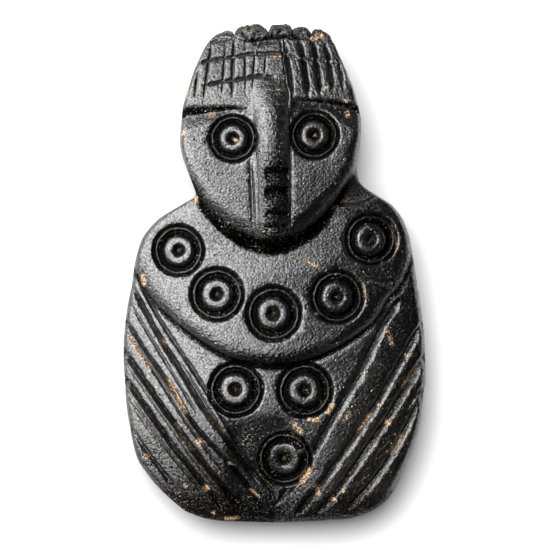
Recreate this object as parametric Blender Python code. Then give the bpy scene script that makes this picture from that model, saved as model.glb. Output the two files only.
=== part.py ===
"""A small carved stone idol, modelled lying on its back.

The figure is one solid of black stone. +Y runs from its foot to its crown, +X to its left hand, which is
on the right for someone looking at its face, and +Z out of its carved front. The origin is on the flat
of the back, at the middle of the box around it. Every size below is in millimetres.
"""

import math

import bmesh
import bpy
from mathutils import Matrix, Vector
from mathutils.bvhtree import BVHTree

MM = 0.001

# ---- Driving sizes ----------------------------------------------------------------------------------

CURVE_STEPS = 2          # straight pieces between two control points of an outline
EDGE_STEPS = 4           # rows of faces in a rounded edge
INNER_RINGS = 3          # rings of faces between a rounded edge and the middle of a slab

# Torso: a flat pebble with a domed front and a flat on its back.
TORSO_OUTLINE = [
    (12.4, 15.2), (13.9, 12.6), (17.1, 10.8), (19.4, 7.6), (20.9, 3.2), (21.5, -1.5), (22.5, -8.5),
    (22.8, -14.6), (21.8, -23.2), (20.1, -28.4), (17.4, -33.7), (13.4, -36.4), (6.5, -37.4), (-2.0, -37.5),
    (-9.5, -37.1), (-13.6, -35.8), (-17.7, -32.2), (-20.8, -27.2), (-22.2, -20.0), (-22.8, -12.0),
    (-22.0, -3.6), (-21.1, 1.4), (-19.1, 6.6), (-14.8, 9.8), (-11.0, 11.8), (-7.0, 15.5), (6.0, 17.5),
]
TORSO_MIDDLE = (0.0, -12.0)
TORSO_RIM = 8.0          # height of the widest line round the torso
TORSO_CREST = 16.4       # height of the front between collar and foot
TORSO_SIDE_FALL = 4.6    # how far the front falls from the middle to the side
TORSO_SIDE_CURVE = 2.2   # power of that fall: 2 is an even arch, and more keeps the middle flatter
TORSO_HALF_WIDTH = 22.8
TORSO_FOOT_FALL = 4.4    # how far the front falls from the belly to the foot
BELLY_Y = -12.0
FOOT_Y = -37.5
TORSO_FRONT_ROUND = 6.0  # width of the rounded front edge
TORSO_BACK_ROUND = 8.5   # width of the rounded back edge, inside which the back is flat

# Collar: a raised crescent over the chest and shoulders.
COLLAR_RISE = 1.5        # how far the collar stands above the torso
COLLAR_PROUD = 0.2       # how far its side stands out from the torso's
COLLAR_WALL = 0.3        # share of the torso's side that the collar's upright side covers
COLLAR_INNER = 0.6       # share of the torso's height where the collar ends inside the torso
COLLAR_UNDERSIDE = 7.2   # height of the foot of its side
COLLAR_HEADROOM = 9.0    # how far the crescent that cuts it out stands over the torso
COLLAR_LEAN_LOW = 3.6    # how far the foot of that crescent lies below the collar's lower edge
COLLAR_LEAN_HIGH = 2.7   # how far its top lies above the edge, which slopes the cut between them
COLLAR_EDGE = [
    (-27.0, 6.0), (-21.0, 0.3), (-18.7, -3.5), (-15.7, -6.6), (-11.2, -10.2), (-6.0, -12.9), (0.0, -13.9),
    (5.4, -12.9), (10.6, -10.5), (15.1, -7.2), (18.6, -2.4), (20.6, 2.5), (27.0, 9.5),
]
COLLAR_TOP_Y = 26.0
CHIN_HOLLOW = 1.3        # how far the collar sinks where the chin overhangs it
CHIN_POINT = (-0.6, 6.0)
CHIN_REACH = (13.0, 7.5)  # how far the hollow reaches across and down from the chin point

# Neck and back of the head.
SKULL_OUTLINE = [
    (-0.6, 36.3), (5.0, 35.9), (8.7, 34.0), (11.7, 28.9), (13.1, 23.4), (12.9, 18.2), (12.5, 15.0),
    (13.2, 11.5), (9.0, 2.0), (-4.0, 1.0), (-10.2, 8.8), (-13.0, 14.6), (-14.4, 19.9), (-14.0, 25.2),
    (-12.0, 31.6), (-9.0, 35.0), (-5.4, 36.2),
]
SKULL_MIDDLE = (-0.5, 18.0)
SKULL_RIM = 8.6
SKULL_FRONT = 13.5
SKULL_BACK_LOW = 0.6     # height of its back at the neck
SKULL_BACK_HIGH = 4.2    # height of its back at the crown
SKULL_BACK_CURVE = 1.5   # power of the rise between them
SKULL_ROUND = 5.0
NECK_Y = 12.0
CROWN_Y = 37.5

# Face: a shield with a bevelled edge that overhangs the collar at the chin.
FACE_OUTLINE = [
    (-0.7, 37.5), (5.6, 36.9), (8.9, 34.0), (11.5, 28.7), (12.9, 23.4), (12.6, 18.2), (10.6, 12.6),
    (7.5, 7.5), (3.8, 4.5), (-1.0, 3.3), (-6.0, 5.0), (-10.1, 9.2), (-12.8, 14.6), (-14.2, 19.9),
    (-13.8, 25.2), (-11.8, 31.8), (-8.9, 35.9), (-5.6, 37.1),
]
FACE_MIDDLE = (-0.6, 17.0)
FACE_RIM = 8.8
FACE_CREST = 19.2
FACE_HIGH_Y = 11.0
FACE_HALF_WIDTH = 13.6
FACE_SIDE_FALL = 3.0     # how far the face falls from the nose to its side
FACE_CROWN_FALL = 4.8    # how far the face falls from its highest line to the crown
FACE_CROWN_CURVE = 2.6   # power of that fall
FACE_BEVEL_SIDE = 1.3    # width of the bevel round the head
FACE_BEVEL_CHIN = 2.5    # width of the bevel under the chin
FACE_WALL = 0.76         # share of the height that is upright wall below the bevel
FACE_SUNK = 0.6          # how far the slab reaches into the head behind its widest line
FACE_BACK_BEVEL = 0.8
CHIN_Y = 3.3

# Nose: a long ridge from the hair to the chin, notched for the nostrils, mouth and chin.
NOSE_TOP_Y = 27.4
NOSE_FOOT_Y = 5.6
NOSE_LEFT_X = -3.1
NOSE_RIGHT_X = 2.1
NOSE_CREST = (-1.2, 0.1)
NOSE_RISE = 1.3
NOSE_ROOT = 2.5          # how deep its base lies under the face
# Rows along the ridge: share of the way to its foot, share of the rise.
NOSE_ROWS = [(0.0, 0.25), (0.12, 1.0), (0.4, 1.0), (0.7, 1.0), (0.94, 1.0), (1.0, 0.4)]
NOSE_NOTCHES = [15.1, 12.3, 9.2]
NOTCH_WIDTH = 0.9
NOTCH_DEPTH = 0.8
NOTCH_INSET = 0.5        # how far a notch starts left of the ridge
NOTCH_OVERRUN = 0.2      # how far it runs past the ridge's right side
# Section of a notch: places along the nose in notch widths, two of them at its floor.
NOTCH_MOUTH = (0.5, -1.0)
NOTCH_FLOOR = (0.4, -0.1)

# Ring-and-dot marks: (x, y, outer radius).
EYES = [(-6.1, 20.2, 3.9), (5.9, 20.8, 3.85)]
COLLAR_RINGS = [(-14.3, 3.5, 4.1), (-8.7, -3.0, 4.2), (-0.1, -6.0, 4.35), (9.4, -3.5, 4.2), (14.5, 5.1, 4.05)]
BIB_RINGS = [(-5.8, -17.3, 4.3), (4.6, -17.5, 4.35), (1.4, -27.9, 4.3)]
RING_SIDES = 20
DOT_SIDES = 10
# Section of the drilled ring as (share of the outer radius, depth), from the boss outwards.
RING_SECTION = [(0.49, 0.0), (0.52, 0.75), (0.70, 0.85), (0.76, 0.22), (0.90, 0.42), (1.0, 0.0)]
DOT_SHARE = 0.26
DOT_DEPTH = 0.9
DOT_TIP = 0.3            # share of the dot's radius left at its bottom
DOT_FLARE = 1.2          # how much wider its cutter is above the surface
CUTTER_PROUD = 1.2       # how far a cutter stands out of the surface
RING_FLARE = 0.24        # how far a ring's cutter widens above the surface

# Grooves: each is a route over the front, with its width and depth.
FLANK_WIDTH = 1.5
FLANK_DEPTH = 0.75
END_DEPTH = 0.15         # share of a groove's depth left at its ends
END_WIDTH = 0.5          # share of its width left there
STEEPEST = 0.5           # the least upward part of a normal that a groove follows
LEFT_FLANK = [
    [(-20.6, -1.5), (-16.8, -7.8), (-13.5, -12.6), (-8.1, -21.2), (-3.5, -28.6), (0.6, -34.0)],
    [(-21.4, -4.0), (-17.4, -9.8), (-12.4, -17.6), (-8.2, -23.4), (-3.2, -31.0)],
    [(-22.4, -8.0), (-16.8, -15.0), (-12.4, -21.6), (-6.4, -29.4), (-2.4, -34.4)],
    [(-22.6, -12.2), (-17.0, -20.8), (-12.0, -26.6), (-5.6, -34.4)],
    [(-22.2, -16.4), (-17.6, -23.6), (-12.0, -30.6), (-7.6, -35.4)],
    [(-21.0, -24.6), (-17.4, -29.2), (-13.6, -33.2)],
]
RIGHT_FLANK = [
    [(17.0, -7.4), (13.2, -14.4), (9.4, -20.8), (5.0, -28.2), (1.8, -33.4)],
    [(21.4, -9.4), (16.4, -18.0), (11.8, -25.4), (7.4, -31.4), (3.4, -36.0)],
    [(21.8, -14.2), (17.6, -20.8), (12.0, -29.4), (7.4, -34.8)],
    [(22.0, -19.4), (17.4, -27.6), (12.4, -34.0)],
]
HAIR_WIDTH = 0.8
HAIR_DEPTH = 0.45
HAIR_STRANDS = [
    [(1.8, 34.6), (2.9, 26.6)], [(4.0, 34.8), (5.2, 26.7)], [(6.1, 34.6), (6.9, 27.2)],
    [(8.0, 33.6), (8.7, 28.0)], [(-11.6, 31.4), (-11.9, 26.8)], [(-10.4, 33.6), (-10.6, 26.4)],
    [(-7.8, 35.0), (-7.9, 26.4)], [(-6.2, 35.0), (-6.2, 26.4)], [(-4.2, 35.4), (-4.3, 27.4)],
]
HAIR_BANDS = [
    [(-11.2, 34.0), (-8.4, 35.0)], [(-11.4, 31.8), (-5.6, 33.0), (0.6, 33.0), (3.4, 32.4)],
    [(-10.8, 28.3), (-5.2, 29.3), (0.2, 29.2)], [(-3.2, 35.0), (1.2, 35.4)],
]
BROWS = [
    # outer end, top corner, inner end, lower corner
    [(-15.2, 25.4), (-9.0, 25.5), (-4.4, 25.2), (-9.0, 23.4), (-15.2, 22.6)],
    [(14.2, 23.4), (11.4, 26.2), (3.0, 26.1), (8.6, 24.2), (14.2, 20.8)],
]
BROW_DEPTH = 0.8         # under its upper edge
BROW_FOOT_DEPTH = 0.15   # along its lower edge
BROW_TOP_CORNERS = 3     # how many of its corners are on the upper edge
BROW_TOP_LEAN = 0.2      # how far the cutter widens upwards at the upper edge
BROW_FOOT_LEAN = -0.6    # and at the lower edge
BROW_REACH = (-12.5, 11.5)  # the face is measured no further out than this

# Crown: knobs with V notches between them, open upwards and deepest at the front.
CROWN_OVERRUN = 3.0      # how far the notches' cutters reach past the crown
CROWN_CUT = [(5.0, 0.8), (20.0, -0.6)]   # a notch's bottom: height, how far it lies above its lowest y
# Each notch: x, half its width, lowest y.
CROWN_NOTCHES = [(-6.1, 1.9, 35.6), (-0.9, 1.4, 36.4), (2.5, 1.3, 35.9), (5.5, 1.3, 35.8), (8.5, 2.2, 33.4)]

STONE_COLOUR = (0.018, 0.018, 0.020, 1.0)
STONE_ROUGHNESS = 0.42

MERGE_DISTANCE = 1e-6    # metres
FLAT_ANGLE = 0.05        # degrees between faces that count as one flat
SMOOTH_ANGLE = 30.0      # degrees below which neighbouring faces shade as one surface


# ---- Small tools ------------------------------------------------------------------------------------

def clear_scene():
    """Removes the objects that a new Blender file starts with."""
    for item in list(bpy.data.objects):
        bpy.data.objects.remove(item, do_unlink=True)


def stone_material():
    """Fine black stone, polished by handling."""
    material = bpy.data.materials.new("black_stone")
    material.use_nodes = True
    shader = material.node_tree.nodes["Principled BSDF"]
    shader.inputs["Base Color"].default_value = STONE_COLOUR
    shader.inputs["Roughness"].default_value = STONE_ROUGHNESS
    shader.inputs["Metallic"].default_value = 0.0
    return material


def catmull(a, b, c, d, t):
    """One coordinate of a Catmull-Rom curve between b and c."""
    bend = (2 * a - 5 * b + 4 * c - d) * t + (3 * b - a - 3 * c + d) * t * t
    return 0.5 * (2 * b + (c - a + bend) * t)


def smooth_curve(points, closed):
    """A smooth curve through the control points, as CURVE_STEPS straight pieces to a span."""
    count = len(points)
    spans = count if closed else count - 1
    result = []
    for span in range(spans):
        near = [span - 1, span, span + 1, span + 2]
        if closed:
            four = [points[i % count] for i in near]
        else:
            four = [points[min(max(i, 0), count - 1)] for i in near]
        for step in range(CURVE_STEPS):
            t = step / CURVE_STEPS
            result.append((catmull(*[p[0] for p in four], t), catmull(*[p[1] for p in four], t)))
    if not closed:
        result.append(points[-1])
    return result


def solid(name, corners, faces):
    """A closed mesh object from corners in millimetres, with its faces turned outwards."""
    mesh = bpy.data.meshes.new(name)
    mesh.from_pydata([(x * MM, y * MM, z * MM) for x, y, z in corners], [], faces)
    shape = bmesh.new()
    shape.from_mesh(mesh)
    bmesh.ops.recalc_face_normals(shape, faces=shape.faces)
    shape.to_mesh(mesh)
    shape.free()
    result = bpy.data.objects.new(name, mesh)
    bpy.context.collection.objects.link(result)
    return result


def loft(name, rings, first_pole=None, last_pole=None):
    """A closed solid through rings of equal length. An end is a fan to its pole, or one flat face."""
    count = len(rings[0])
    corners = [corner for ring in rings for corner in ring]
    faces = []
    for row in range(len(rings) - 1):
        for i in range(count):
            j = (i + 1) % count
            faces.append((row * count + i, row * count + j, (row + 1) * count + j, (row + 1) * count + i))
    last_start = (len(rings) - 1) * count
    for start, pole in ((0, first_pole), (last_start, last_pole)):
        if pole is None:
            faces.append(tuple(range(start, start + count)))
            continue
        corners.append(pole)
        tip = len(corners) - 1
        for i in range(count):
            faces.append((start + i, start + (i + 1) % count, tip))
    return solid(name, corners, faces)


def combine(target, other, operation):
    """Applies a Boolean of the other object to the target, and removes the other object."""
    other.hide_render = True
    other.display_type = "WIRE"
    cut = target.modifiers.new(operation.title(), "BOOLEAN")
    cut.operation = operation
    cut.solver = "EXACT"
    cut.object = other
    view = bpy.context.evaluated_depsgraph_get()
    result = bpy.data.meshes.new_from_object(target.evaluated_get(view))
    target.modifiers.clear()
    target.data = result
    bpy.data.objects.remove(other, do_unlink=True)


def rounded_edge(width):
    """A quarter-round edge, as (distance in from the outline, share of the height)."""
    turns = [step / EDGE_STEPS * math.pi / 2 for step in range(EDGE_STEPS + 1)]
    return [(width * (1 - math.cos(turn)), math.sin(turn)) for turn in turns]


def slab(name, outline, middle, rim, front, back, front_edge, back_edge):
    """A slab over a plan outline, whose front and back are height functions and whose edges are shaped.

    An edge is a list of (distance in from the outline, share of the way from the rim to the surface).
    """
    plan = smooth_curve(outline, closed=True)

    def ring(height, inset, share, reach):
        corners = []
        for x, y in plan:
            out = Vector((x - middle[0], y - middle[1]))
            out *= max(out.length - inset(y), 0.0) * reach / out.length
            px, py = middle[0] + out.x, middle[1] + out.y
            corners.append((px, py, rim + (height(px, py) - rim) * share))
        return corners

    def rows(height, edge):
        result = [ring(height, (lambda y, d=d: d(y) if callable(d) else d), share, 1.0) for d, share in edge]
        deepest = edge[-1][0]
        for step in range(1, INNER_RINGS + 1):
            reach = 1 - step / (INNER_RINGS + 1)
            result.append(ring(height, (lambda y, d=deepest: d(y) if callable(d) else d), 1.0, reach))
        return result

    behind = rows(back, back_edge)
    ahead = rows(front, front_edge)
    rings = behind[::-1] + ahead[1:]
    return loft(name, rings, (*middle, back(*middle)), (*middle, front(*middle)))


def front_of(shape):
    """A function that gives the point and the normal of the shape's front above a place in plan."""
    tree = BVHTree.FromObject(shape, bpy.context.evaluated_depsgraph_get())
    down = Vector((0, 0, -1))

    def look(x, y):
        point, normal, _, _ = tree.ray_cast(Vector((x * MM, y * MM, 1.0)), down)
        if point is None:
            return None, None
        return point / MM, normal

    return look


# ---- Heights of the surfaces ------------------------------------------------------------------------

def torso_front(x, y):
    """The domed front of the torso, which falls towards its sides and its foot."""
    side = abs(x) / TORSO_HALF_WIDTH
    foot = max(0.0, (BELLY_Y - y) / (BELLY_Y - FOOT_Y))
    return TORSO_CREST - TORSO_SIDE_FALL * side ** TORSO_SIDE_CURVE - TORSO_FOOT_FALL * foot ** 2


def collar_front(x, y):
    """The collar stands over the torso, and sinks again into a shallow hollow round the chin."""
    across = (x - CHIN_POINT[0]) / CHIN_REACH[0]
    down = (y - CHIN_POINT[1]) / CHIN_REACH[1]
    near = max(0.0, 1.0 - across * across - down * down)
    return torso_front(x, y) + COLLAR_RISE - CHIN_HOLLOW * near


def flat_back(x, y):
    return 0.0


def skull_front(x, y):
    return SKULL_FRONT


def skull_back(x, y):
    """The back of the head, which rises from the shoulders to the crown."""
    share = min(max((y - NECK_Y) / (CROWN_Y - NECK_Y), 0.0), 1.0)
    return SKULL_BACK_LOW + (SKULL_BACK_HIGH - SKULL_BACK_LOW) * share ** SKULL_BACK_CURVE


def face_front(x, y):
    """The face, highest along the nose and falling to the cheeks and over the hair to the crown."""
    side = (x - FACE_MIDDLE[0]) / FACE_HALF_WIDTH
    crown = max(0.0, (y - FACE_HIGH_Y) / (CROWN_Y - FACE_HIGH_Y))
    return FACE_CREST - FACE_SIDE_FALL * side ** 2 - FACE_CROWN_FALL * crown ** FACE_CROWN_CURVE


def face_back(x, y):
    return FACE_RIM - FACE_SUNK


# ---- The pieces of the blank ------------------------------------------------------------------------

def make_torso():
    return slab("stone_idol", TORSO_OUTLINE, TORSO_MIDDLE, TORSO_RIM, torso_front, flat_back,
                rounded_edge(TORSO_FRONT_ROUND), rounded_edge(TORSO_BACK_ROUND))


def make_collar():
    """The part of a higher torso that lies above the crescent edge."""
    collar = slab("collar", TORSO_OUTLINE, TORSO_MIDDLE, TORSO_RIM, collar_front, flat_back,
                  [(d - COLLAR_PROUD, share) for d, share in rounded_edge(TORSO_FRONT_ROUND)],
                  [(-COLLAR_PROUD, 0.0), (-COLLAR_PROUD, COLLAR_WALL), (TORSO_BACK_ROUND, COLLAR_INNER)])
    edge = smooth_curve(COLLAR_EDGE, closed=False)
    # Straight above the torso's front, the sides of this prism lean to give the collar its sloping edge.
    rings = []
    ends = ((COLLAR_UNDERSIDE, -COLLAR_LEAN_LOW), (TORSO_CREST + COLLAR_HEADROOM, COLLAR_LEAN_HIGH))
    for height, inset in ends:
        ring = [(x, y + inset, height) for x, y in edge]
        ring += [(edge[-1][0], COLLAR_TOP_Y, height), (edge[0][0], COLLAR_TOP_Y, height)]
        rings.append(ring)
    combine(collar, loft("crescent", rings), "INTERSECT")
    return collar


def make_skull():
    return slab("skull", SKULL_OUTLINE, SKULL_MIDDLE, SKULL_RIM, skull_front, skull_back,
                rounded_edge(SKULL_ROUND), rounded_edge(SKULL_ROUND))


def face_bevel(y):
    """The width of the bevel round the face, widest under the chin."""
    share = min(max((NECK_Y - y) / (NECK_Y - CHIN_Y), 0.0), 1.0)
    return FACE_BEVEL_SIDE + (FACE_BEVEL_CHIN - FACE_BEVEL_SIDE) * share


def make_face():
    front_edge = [(0.0, 0.0), (0.0, FACE_WALL), (face_bevel, 1.0)]
    return slab("face", FACE_OUTLINE, FACE_MIDDLE, FACE_RIM, face_front, face_back,
                front_edge, [(0.0, 0.0), (FACE_BACK_BEVEL, 1.0)])


def make_nose():
    """A ridge with sloping sides that fades into the hair and the chin bevel."""
    rings = []
    left, right = NOSE_CREST
    for share, rise_share in NOSE_ROWS:
        y = NOSE_TOP_Y + (NOSE_FOOT_Y - NOSE_TOP_Y) * share
        base = face_front(0.0, y) - NOSE_ROOT
        slope_left = face_front(NOSE_LEFT_X, y)
        slope_right = face_front(NOSE_RIGHT_X, y)
        crest = face_front(left, y) + NOSE_RISE * rise_share
        rings.append([
            (NOSE_LEFT_X, y, base), (NOSE_LEFT_X, y, slope_left), (left, y, crest), (right, y, crest),
            (NOSE_RIGHT_X, y, slope_right), (NOSE_RIGHT_X, y, base),
        ])
    return loft("nose", rings)


# ---- The carving ------------------------------------------------------------------------------------

def turned(look, x, y, section, sides):
    """Rings of corners turned about the surface's normal. The section is a list of (radius, depth)."""
    point, normal = look(x, y)
    axis = (normal + Vector((0, 0, 1))).normalized()
    across = axis.cross(Vector((0, 1, 0))).normalized()
    along = across.cross(axis)
    rings = []
    for radius, depth in section:
        ring = []
        for side in range(sides):
            turn = side / sides * math.tau
            place = point + (across * math.cos(turn) + along * math.sin(turn)) * radius - axis * depth
            ring.append(tuple(place))
        rings.append(ring)
    return rings


def turned_ring(name, rings):
    """A closed ring-shaped cutter, whose last ring of corners joins its first."""
    count = len(rings[0])
    corners = [corner for ring in rings for corner in ring]
    faces = []
    for row in range(len(rings)):
        after = (row + 1) % len(rings)
        for i in range(count):
            j = (i + 1) % count
            faces.append((row * count + i, row * count + j, after * count + j, after * count + i))
    return solid(name, corners, faces)


def carve_ring(idol, look, x, y, radius):
    """One ring-and-dot mark: a stepped ring round a boss, with a drilled dot in the boss."""
    section = [(share * radius, depth) for share, depth in RING_SECTION]
    section = [(section[0][0], -CUTTER_PROUD)] + section + [(section[-1][0] + RING_FLARE, -CUTTER_PROUD)]
    combine(idol, turned_ring("ring", turned(look, x, y, section, RING_SIDES)), "DIFFERENCE")
    dot = DOT_SHARE * radius
    dot_section = [(dot * DOT_FLARE, -CUTTER_PROUD), (dot, 0.0), (dot * DOT_TIP, DOT_DEPTH)]
    combine(idol, loft("dot", turned(look, x, y, dot_section, DOT_SIDES)), "DIFFERENCE")


def carve_groove(idol, look, route, width, depth):
    """A V groove along a route over the surface, which fades out at both ends."""
    points = smooth_curve(route, closed=False)
    rings = []
    for index, (x, y) in enumerate(points):
        before = points[max(index - 1, 0)]
        after = points[min(index + 1, len(points) - 1)]
        ahead = Vector((after[0] - before[0], after[1] - before[1])).normalized()
        side = Vector((-ahead.y, ahead.x))
        place, normal = look(x, y)
        if place is None:
            continue
        end = index in (0, len(points) - 1)
        deep = END_DEPTH if end else 1.0
        spread = width / 2 * (1 + CUTTER_PROUD / depth) * (END_WIDTH if end else 1.0)
        lean = normal / max(normal.z, STEEPEST)
        top = Vector((x, y, place.z)) + lean * CUTTER_PROUD
        low = Vector((x, y, place.z)) - lean * depth * deep
        across = Vector((side.x, side.y, 0.0))
        across -= normal * across.dot(normal)
        across.normalize()
        rings.append([tuple(low), tuple(top + across * spread), tuple(top - across * spread)])
    combine(idol, loft("groove", rings), "DIFFERENCE")


def carve_brow(idol, look, outline):
    """A sunk wedge under the brow, deepest along its upper edge."""
    corners_low = []
    corners_high = []
    for index, (x, y) in enumerate(outline):
        inside = min(max(x, BROW_REACH[0]), BROW_REACH[1])
        place, _ = look(inside, y)
        upper = index < BROW_TOP_CORNERS
        deep = BROW_DEPTH if upper else BROW_FOOT_DEPTH
        lean = BROW_TOP_LEAN if upper else BROW_FOOT_LEAN
        corners_low.append((x, y, place.z - deep))
        corners_high.append((x, y + lean, place.z + CUTTER_PROUD))
    combine(idol, loft("brow", [corners_low, corners_high]), "DIFFERENCE")


def carve_notch_across(idol, y):
    """A step across the nose, steep on its upper side."""
    left, right = NOSE_CREST[0], NOSE_RIGHT_X
    crest = face_front(left, y) + NOSE_RISE
    rings = []
    mouth = [y + NOTCH_WIDTH * share for share in NOTCH_MOUTH]
    floor = [y + NOTCH_WIDTH * share for share in NOTCH_FLOOR]
    top, deep = crest + CUTTER_PROUD, crest - NOTCH_DEPTH
    for x in (left - NOTCH_INSET, right + NOTCH_OVERRUN):
        rings.append([(x, mouth[0], top), (x, floor[0], deep), (x, floor[1], deep), (x, mouth[1], top)])
    combine(idol, loft("notch", rings), "DIFFERENCE")


def carve_crown_notch(idol, x, width, low_y):
    """A V between two knobs of the crown, open upwards and deepest at the front."""
    rings = []
    top_y = CROWN_Y + CROWN_OVERRUN
    for height, rise in CROWN_CUT:
        rings.append([(x, low_y + rise, height), (x + width, top_y, height), (x - width, top_y, height)])
    combine(idol, loft("crown_notch", rings), "DIFFERENCE")


def carve_front(idol):
    """All the drilling and cutting on the front."""
    look = front_of(idol)
    for x, y, radius in EYES + COLLAR_RINGS + BIB_RINGS:
        carve_ring(idol, look, x, y, radius)
    for route in LEFT_FLANK + RIGHT_FLANK:
        carve_groove(idol, look, route, FLANK_WIDTH, FLANK_DEPTH)
    for route in HAIR_STRANDS + HAIR_BANDS:
        carve_groove(idol, look, route, HAIR_WIDTH, HAIR_DEPTH)
    for outline in BROWS:
        carve_brow(idol, look, outline)
    for y in NOSE_NOTCHES:
        carve_notch_across(idol, y)
    for x, width, low_y in CROWN_NOTCHES:
        carve_crown_notch(idol, x, width, low_y)


def tidy_mesh(idol):
    """Merges flat neighbouring faces, and leaves triangles that point outwards."""
    shape = bmesh.new()
    shape.from_mesh(idol.data)
    bmesh.ops.remove_doubles(shape, verts=shape.verts, dist=MERGE_DISTANCE)
    flat = math.radians(FLAT_ANGLE)
    bmesh.ops.dissolve_limit(shape, angle_limit=flat, verts=shape.verts, edges=shape.edges)
    bmesh.ops.triangulate(shape, faces=shape.faces)
    bmesh.ops.recalc_face_normals(shape, faces=shape.faces)
    shape.to_mesh(idol.data)
    shape.free()
    idol.data.set_sharp_from_angle(angle=math.radians(SMOOTH_ANGLE))


def centre_on_origin(idol):
    """Puts the bottom centre of the box around the idol at the origin."""
    places = [corner.co for corner in idol.data.vertices]
    low = Vector([min(place[axis] for place in places) for axis in range(3)])
    high = Vector([max(place[axis] for place in places) for axis in range(3)])
    idol.data.transform(Matrix.Translation((-(low.x + high.x) / 2, -(low.y + high.y) / 2, -low.z)))


def main():
    clear_scene()
    idol = make_torso()
    for piece in (make_collar(), make_skull(), make_face(), make_nose()):
        combine(idol, piece, "UNION")
    carve_front(idol)
    tidy_mesh(idol)
    centre_on_origin(idol)
    idol.data.materials.clear()
    idol.data.materials.append(stone_material())


main()
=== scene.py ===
"""A small idol carved from one pebble of black stone, lying on its back on a pale studio floor.

The stone is shaped as a fine mesh from the sizes below, in millimetres: first the blank with its face,
collar and torso, then the drilled ring-and-dot marks, the scored grooves and the wear, each cut by its
own Geometry Nodes tree. +Y runs from foot to crown, +X to the idol's left hand, +Z out of its front.
Left and right below are those of someone who looks at the face, so left is towards -X.
A pair of numbers named for a change says where it starts and where it is full.
"""

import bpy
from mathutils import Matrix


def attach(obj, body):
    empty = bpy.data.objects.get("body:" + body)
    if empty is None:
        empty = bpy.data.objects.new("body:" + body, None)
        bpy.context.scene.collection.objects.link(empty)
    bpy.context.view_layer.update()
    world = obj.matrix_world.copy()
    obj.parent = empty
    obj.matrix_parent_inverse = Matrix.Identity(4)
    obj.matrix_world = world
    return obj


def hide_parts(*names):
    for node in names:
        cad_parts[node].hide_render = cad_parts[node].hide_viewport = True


bl_info = {
    "name": "Carved Stone Idol",
    "version": (1, 0, 0),
    "blender": (4, 5, 0),
    "location": "3D Viewport > Sidebar > Idol",
    "description": "Carves a small black stone idol and lays it on a studio floor",
    "category": "Add Mesh",
}

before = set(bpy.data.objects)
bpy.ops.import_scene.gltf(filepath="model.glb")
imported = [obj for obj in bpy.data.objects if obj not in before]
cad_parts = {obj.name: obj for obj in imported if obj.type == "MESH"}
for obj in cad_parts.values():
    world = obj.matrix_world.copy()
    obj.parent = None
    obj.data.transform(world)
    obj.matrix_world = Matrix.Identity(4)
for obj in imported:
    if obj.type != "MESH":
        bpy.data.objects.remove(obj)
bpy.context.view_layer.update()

import math

import bmesh
import bpy
import numpy as np

MM = 0.001
NODE = "stone_idol"
BODY = "root"
PIECE = "carved_stone"
FLOOR = "studio_floor"

# ---- The plan of the stone ----------------------------------------------------------------------------

# The outline's two sides from foot to crown, then its foot and crown from left to right.
LEFT_SIDE = [
    (-13.5, -35.8), (-15.7, -34.0), (-18.1, -31.6), (-20.6, -28.0), (-21.8, -23.2), (-22.4, -18.4),
    (-22.8, -11.7), (-22.4, -6.3), (-21.5, -1.5), (-21.2, 0.9), (-20.7, 3.3), (-19.9, 5.4), (-18.9, 6.8),
    (-17.4, 8.3), (-15.6, 9.5), (-13.7, 10.6), (-11.9, 11.7), (-12.1, 13.0), (-13.0, 15.4), (-13.9, 17.8),
    (-14.2, 20.2), (-13.9, 23.8), (-13.5, 26.2), (-12.4, 29.8), (-11.4, 32.2), (-10.3, 34.5), (-9.4, 35.5),
]
RIGHT_SIDE = [
    (14.5, -36.0), (17.1, -34.0), (18.6, -31.6), (20.1, -28.0), (21.8, -23.2), (22.5, -18.4),
    (22.8, -14.8), (22.5, -8.7), (21.9, -3.9), (21.3, -0.3), (20.7, 3.3), (20.3, 5.7), (19.4, 8.1),
    (18.6, 9.3), (17.5, 10.5), (15.6, 11.7), (13.5, 13.0), (12.6, 14.2), (12.4, 16.0), (12.6, 17.8),
    (13.0, 20.8), (13.0, 23.2), (12.6, 25.0), (12.0, 27.4), (11.1, 29.8), (10.0, 32.2), (9.3, 33.6),
    (8.1, 34.6),
]
FOOT = [
    (-13.5, -35.8), (-11.2, -36.7), (-9.0, -37.2), (-5.2, -37.45), (-1.9, -37.5), (1.6, -37.5),
    (5.3, -37.4), (8.4, -37.2), (11.4, -36.9), (14.5, -36.0),
]
# The crown is broken into knobs with notches between them.
CROWN = [
    (-9.4, 35.5), (-8.7, 36.1), (-7.9, 36.4), (-7.2, 36.7), (-6.4, 36.5), (-6.0, 36.0), (-5.5, 37.0),
    (-4.4, 37.3), (-3.2, 37.4), (-1.9, 37.2), (-1.3, 36.9), (-0.9, 36.5), (-0.5, 37.2), (0.4, 37.5),
    (1.6, 37.5), (2.2, 37.0), (2.5, 36.1), (2.9, 36.9), (4.0, 37.2), (5.0, 36.9), (5.5, 36.1),
    (5.9, 36.7), (6.9, 36.7), (7.6, 36.3), (7.9, 35.4), (8.1, 34.6),
]
# The step round the face, from the left of the crown down round the chin and up again.
FACE_EDGE = [
    (-16.0, 38.0), (-15.4, 25.0), (-14.1, 19.0), (-13.5, 16.6), (-12.6, 14.2), (-11.7, 11.9), (-10.8, 9.9),
    (-9.4, 8.1), (-7.9, 6.5), (-5.9, 5.0), (-3.7, 3.9), (-0.4, 3.2), (1.6, 3.5), (3.8, 4.5), (5.6, 5.6),
    (7.2, 7.1), (8.4, 8.9), (9.4, 10.7), (10.6, 12.7), (11.5, 14.5), (12.3, 16.4), (12.7, 18.7),
    (14.4, 25.0), (15.0, 38.0),
]
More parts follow.
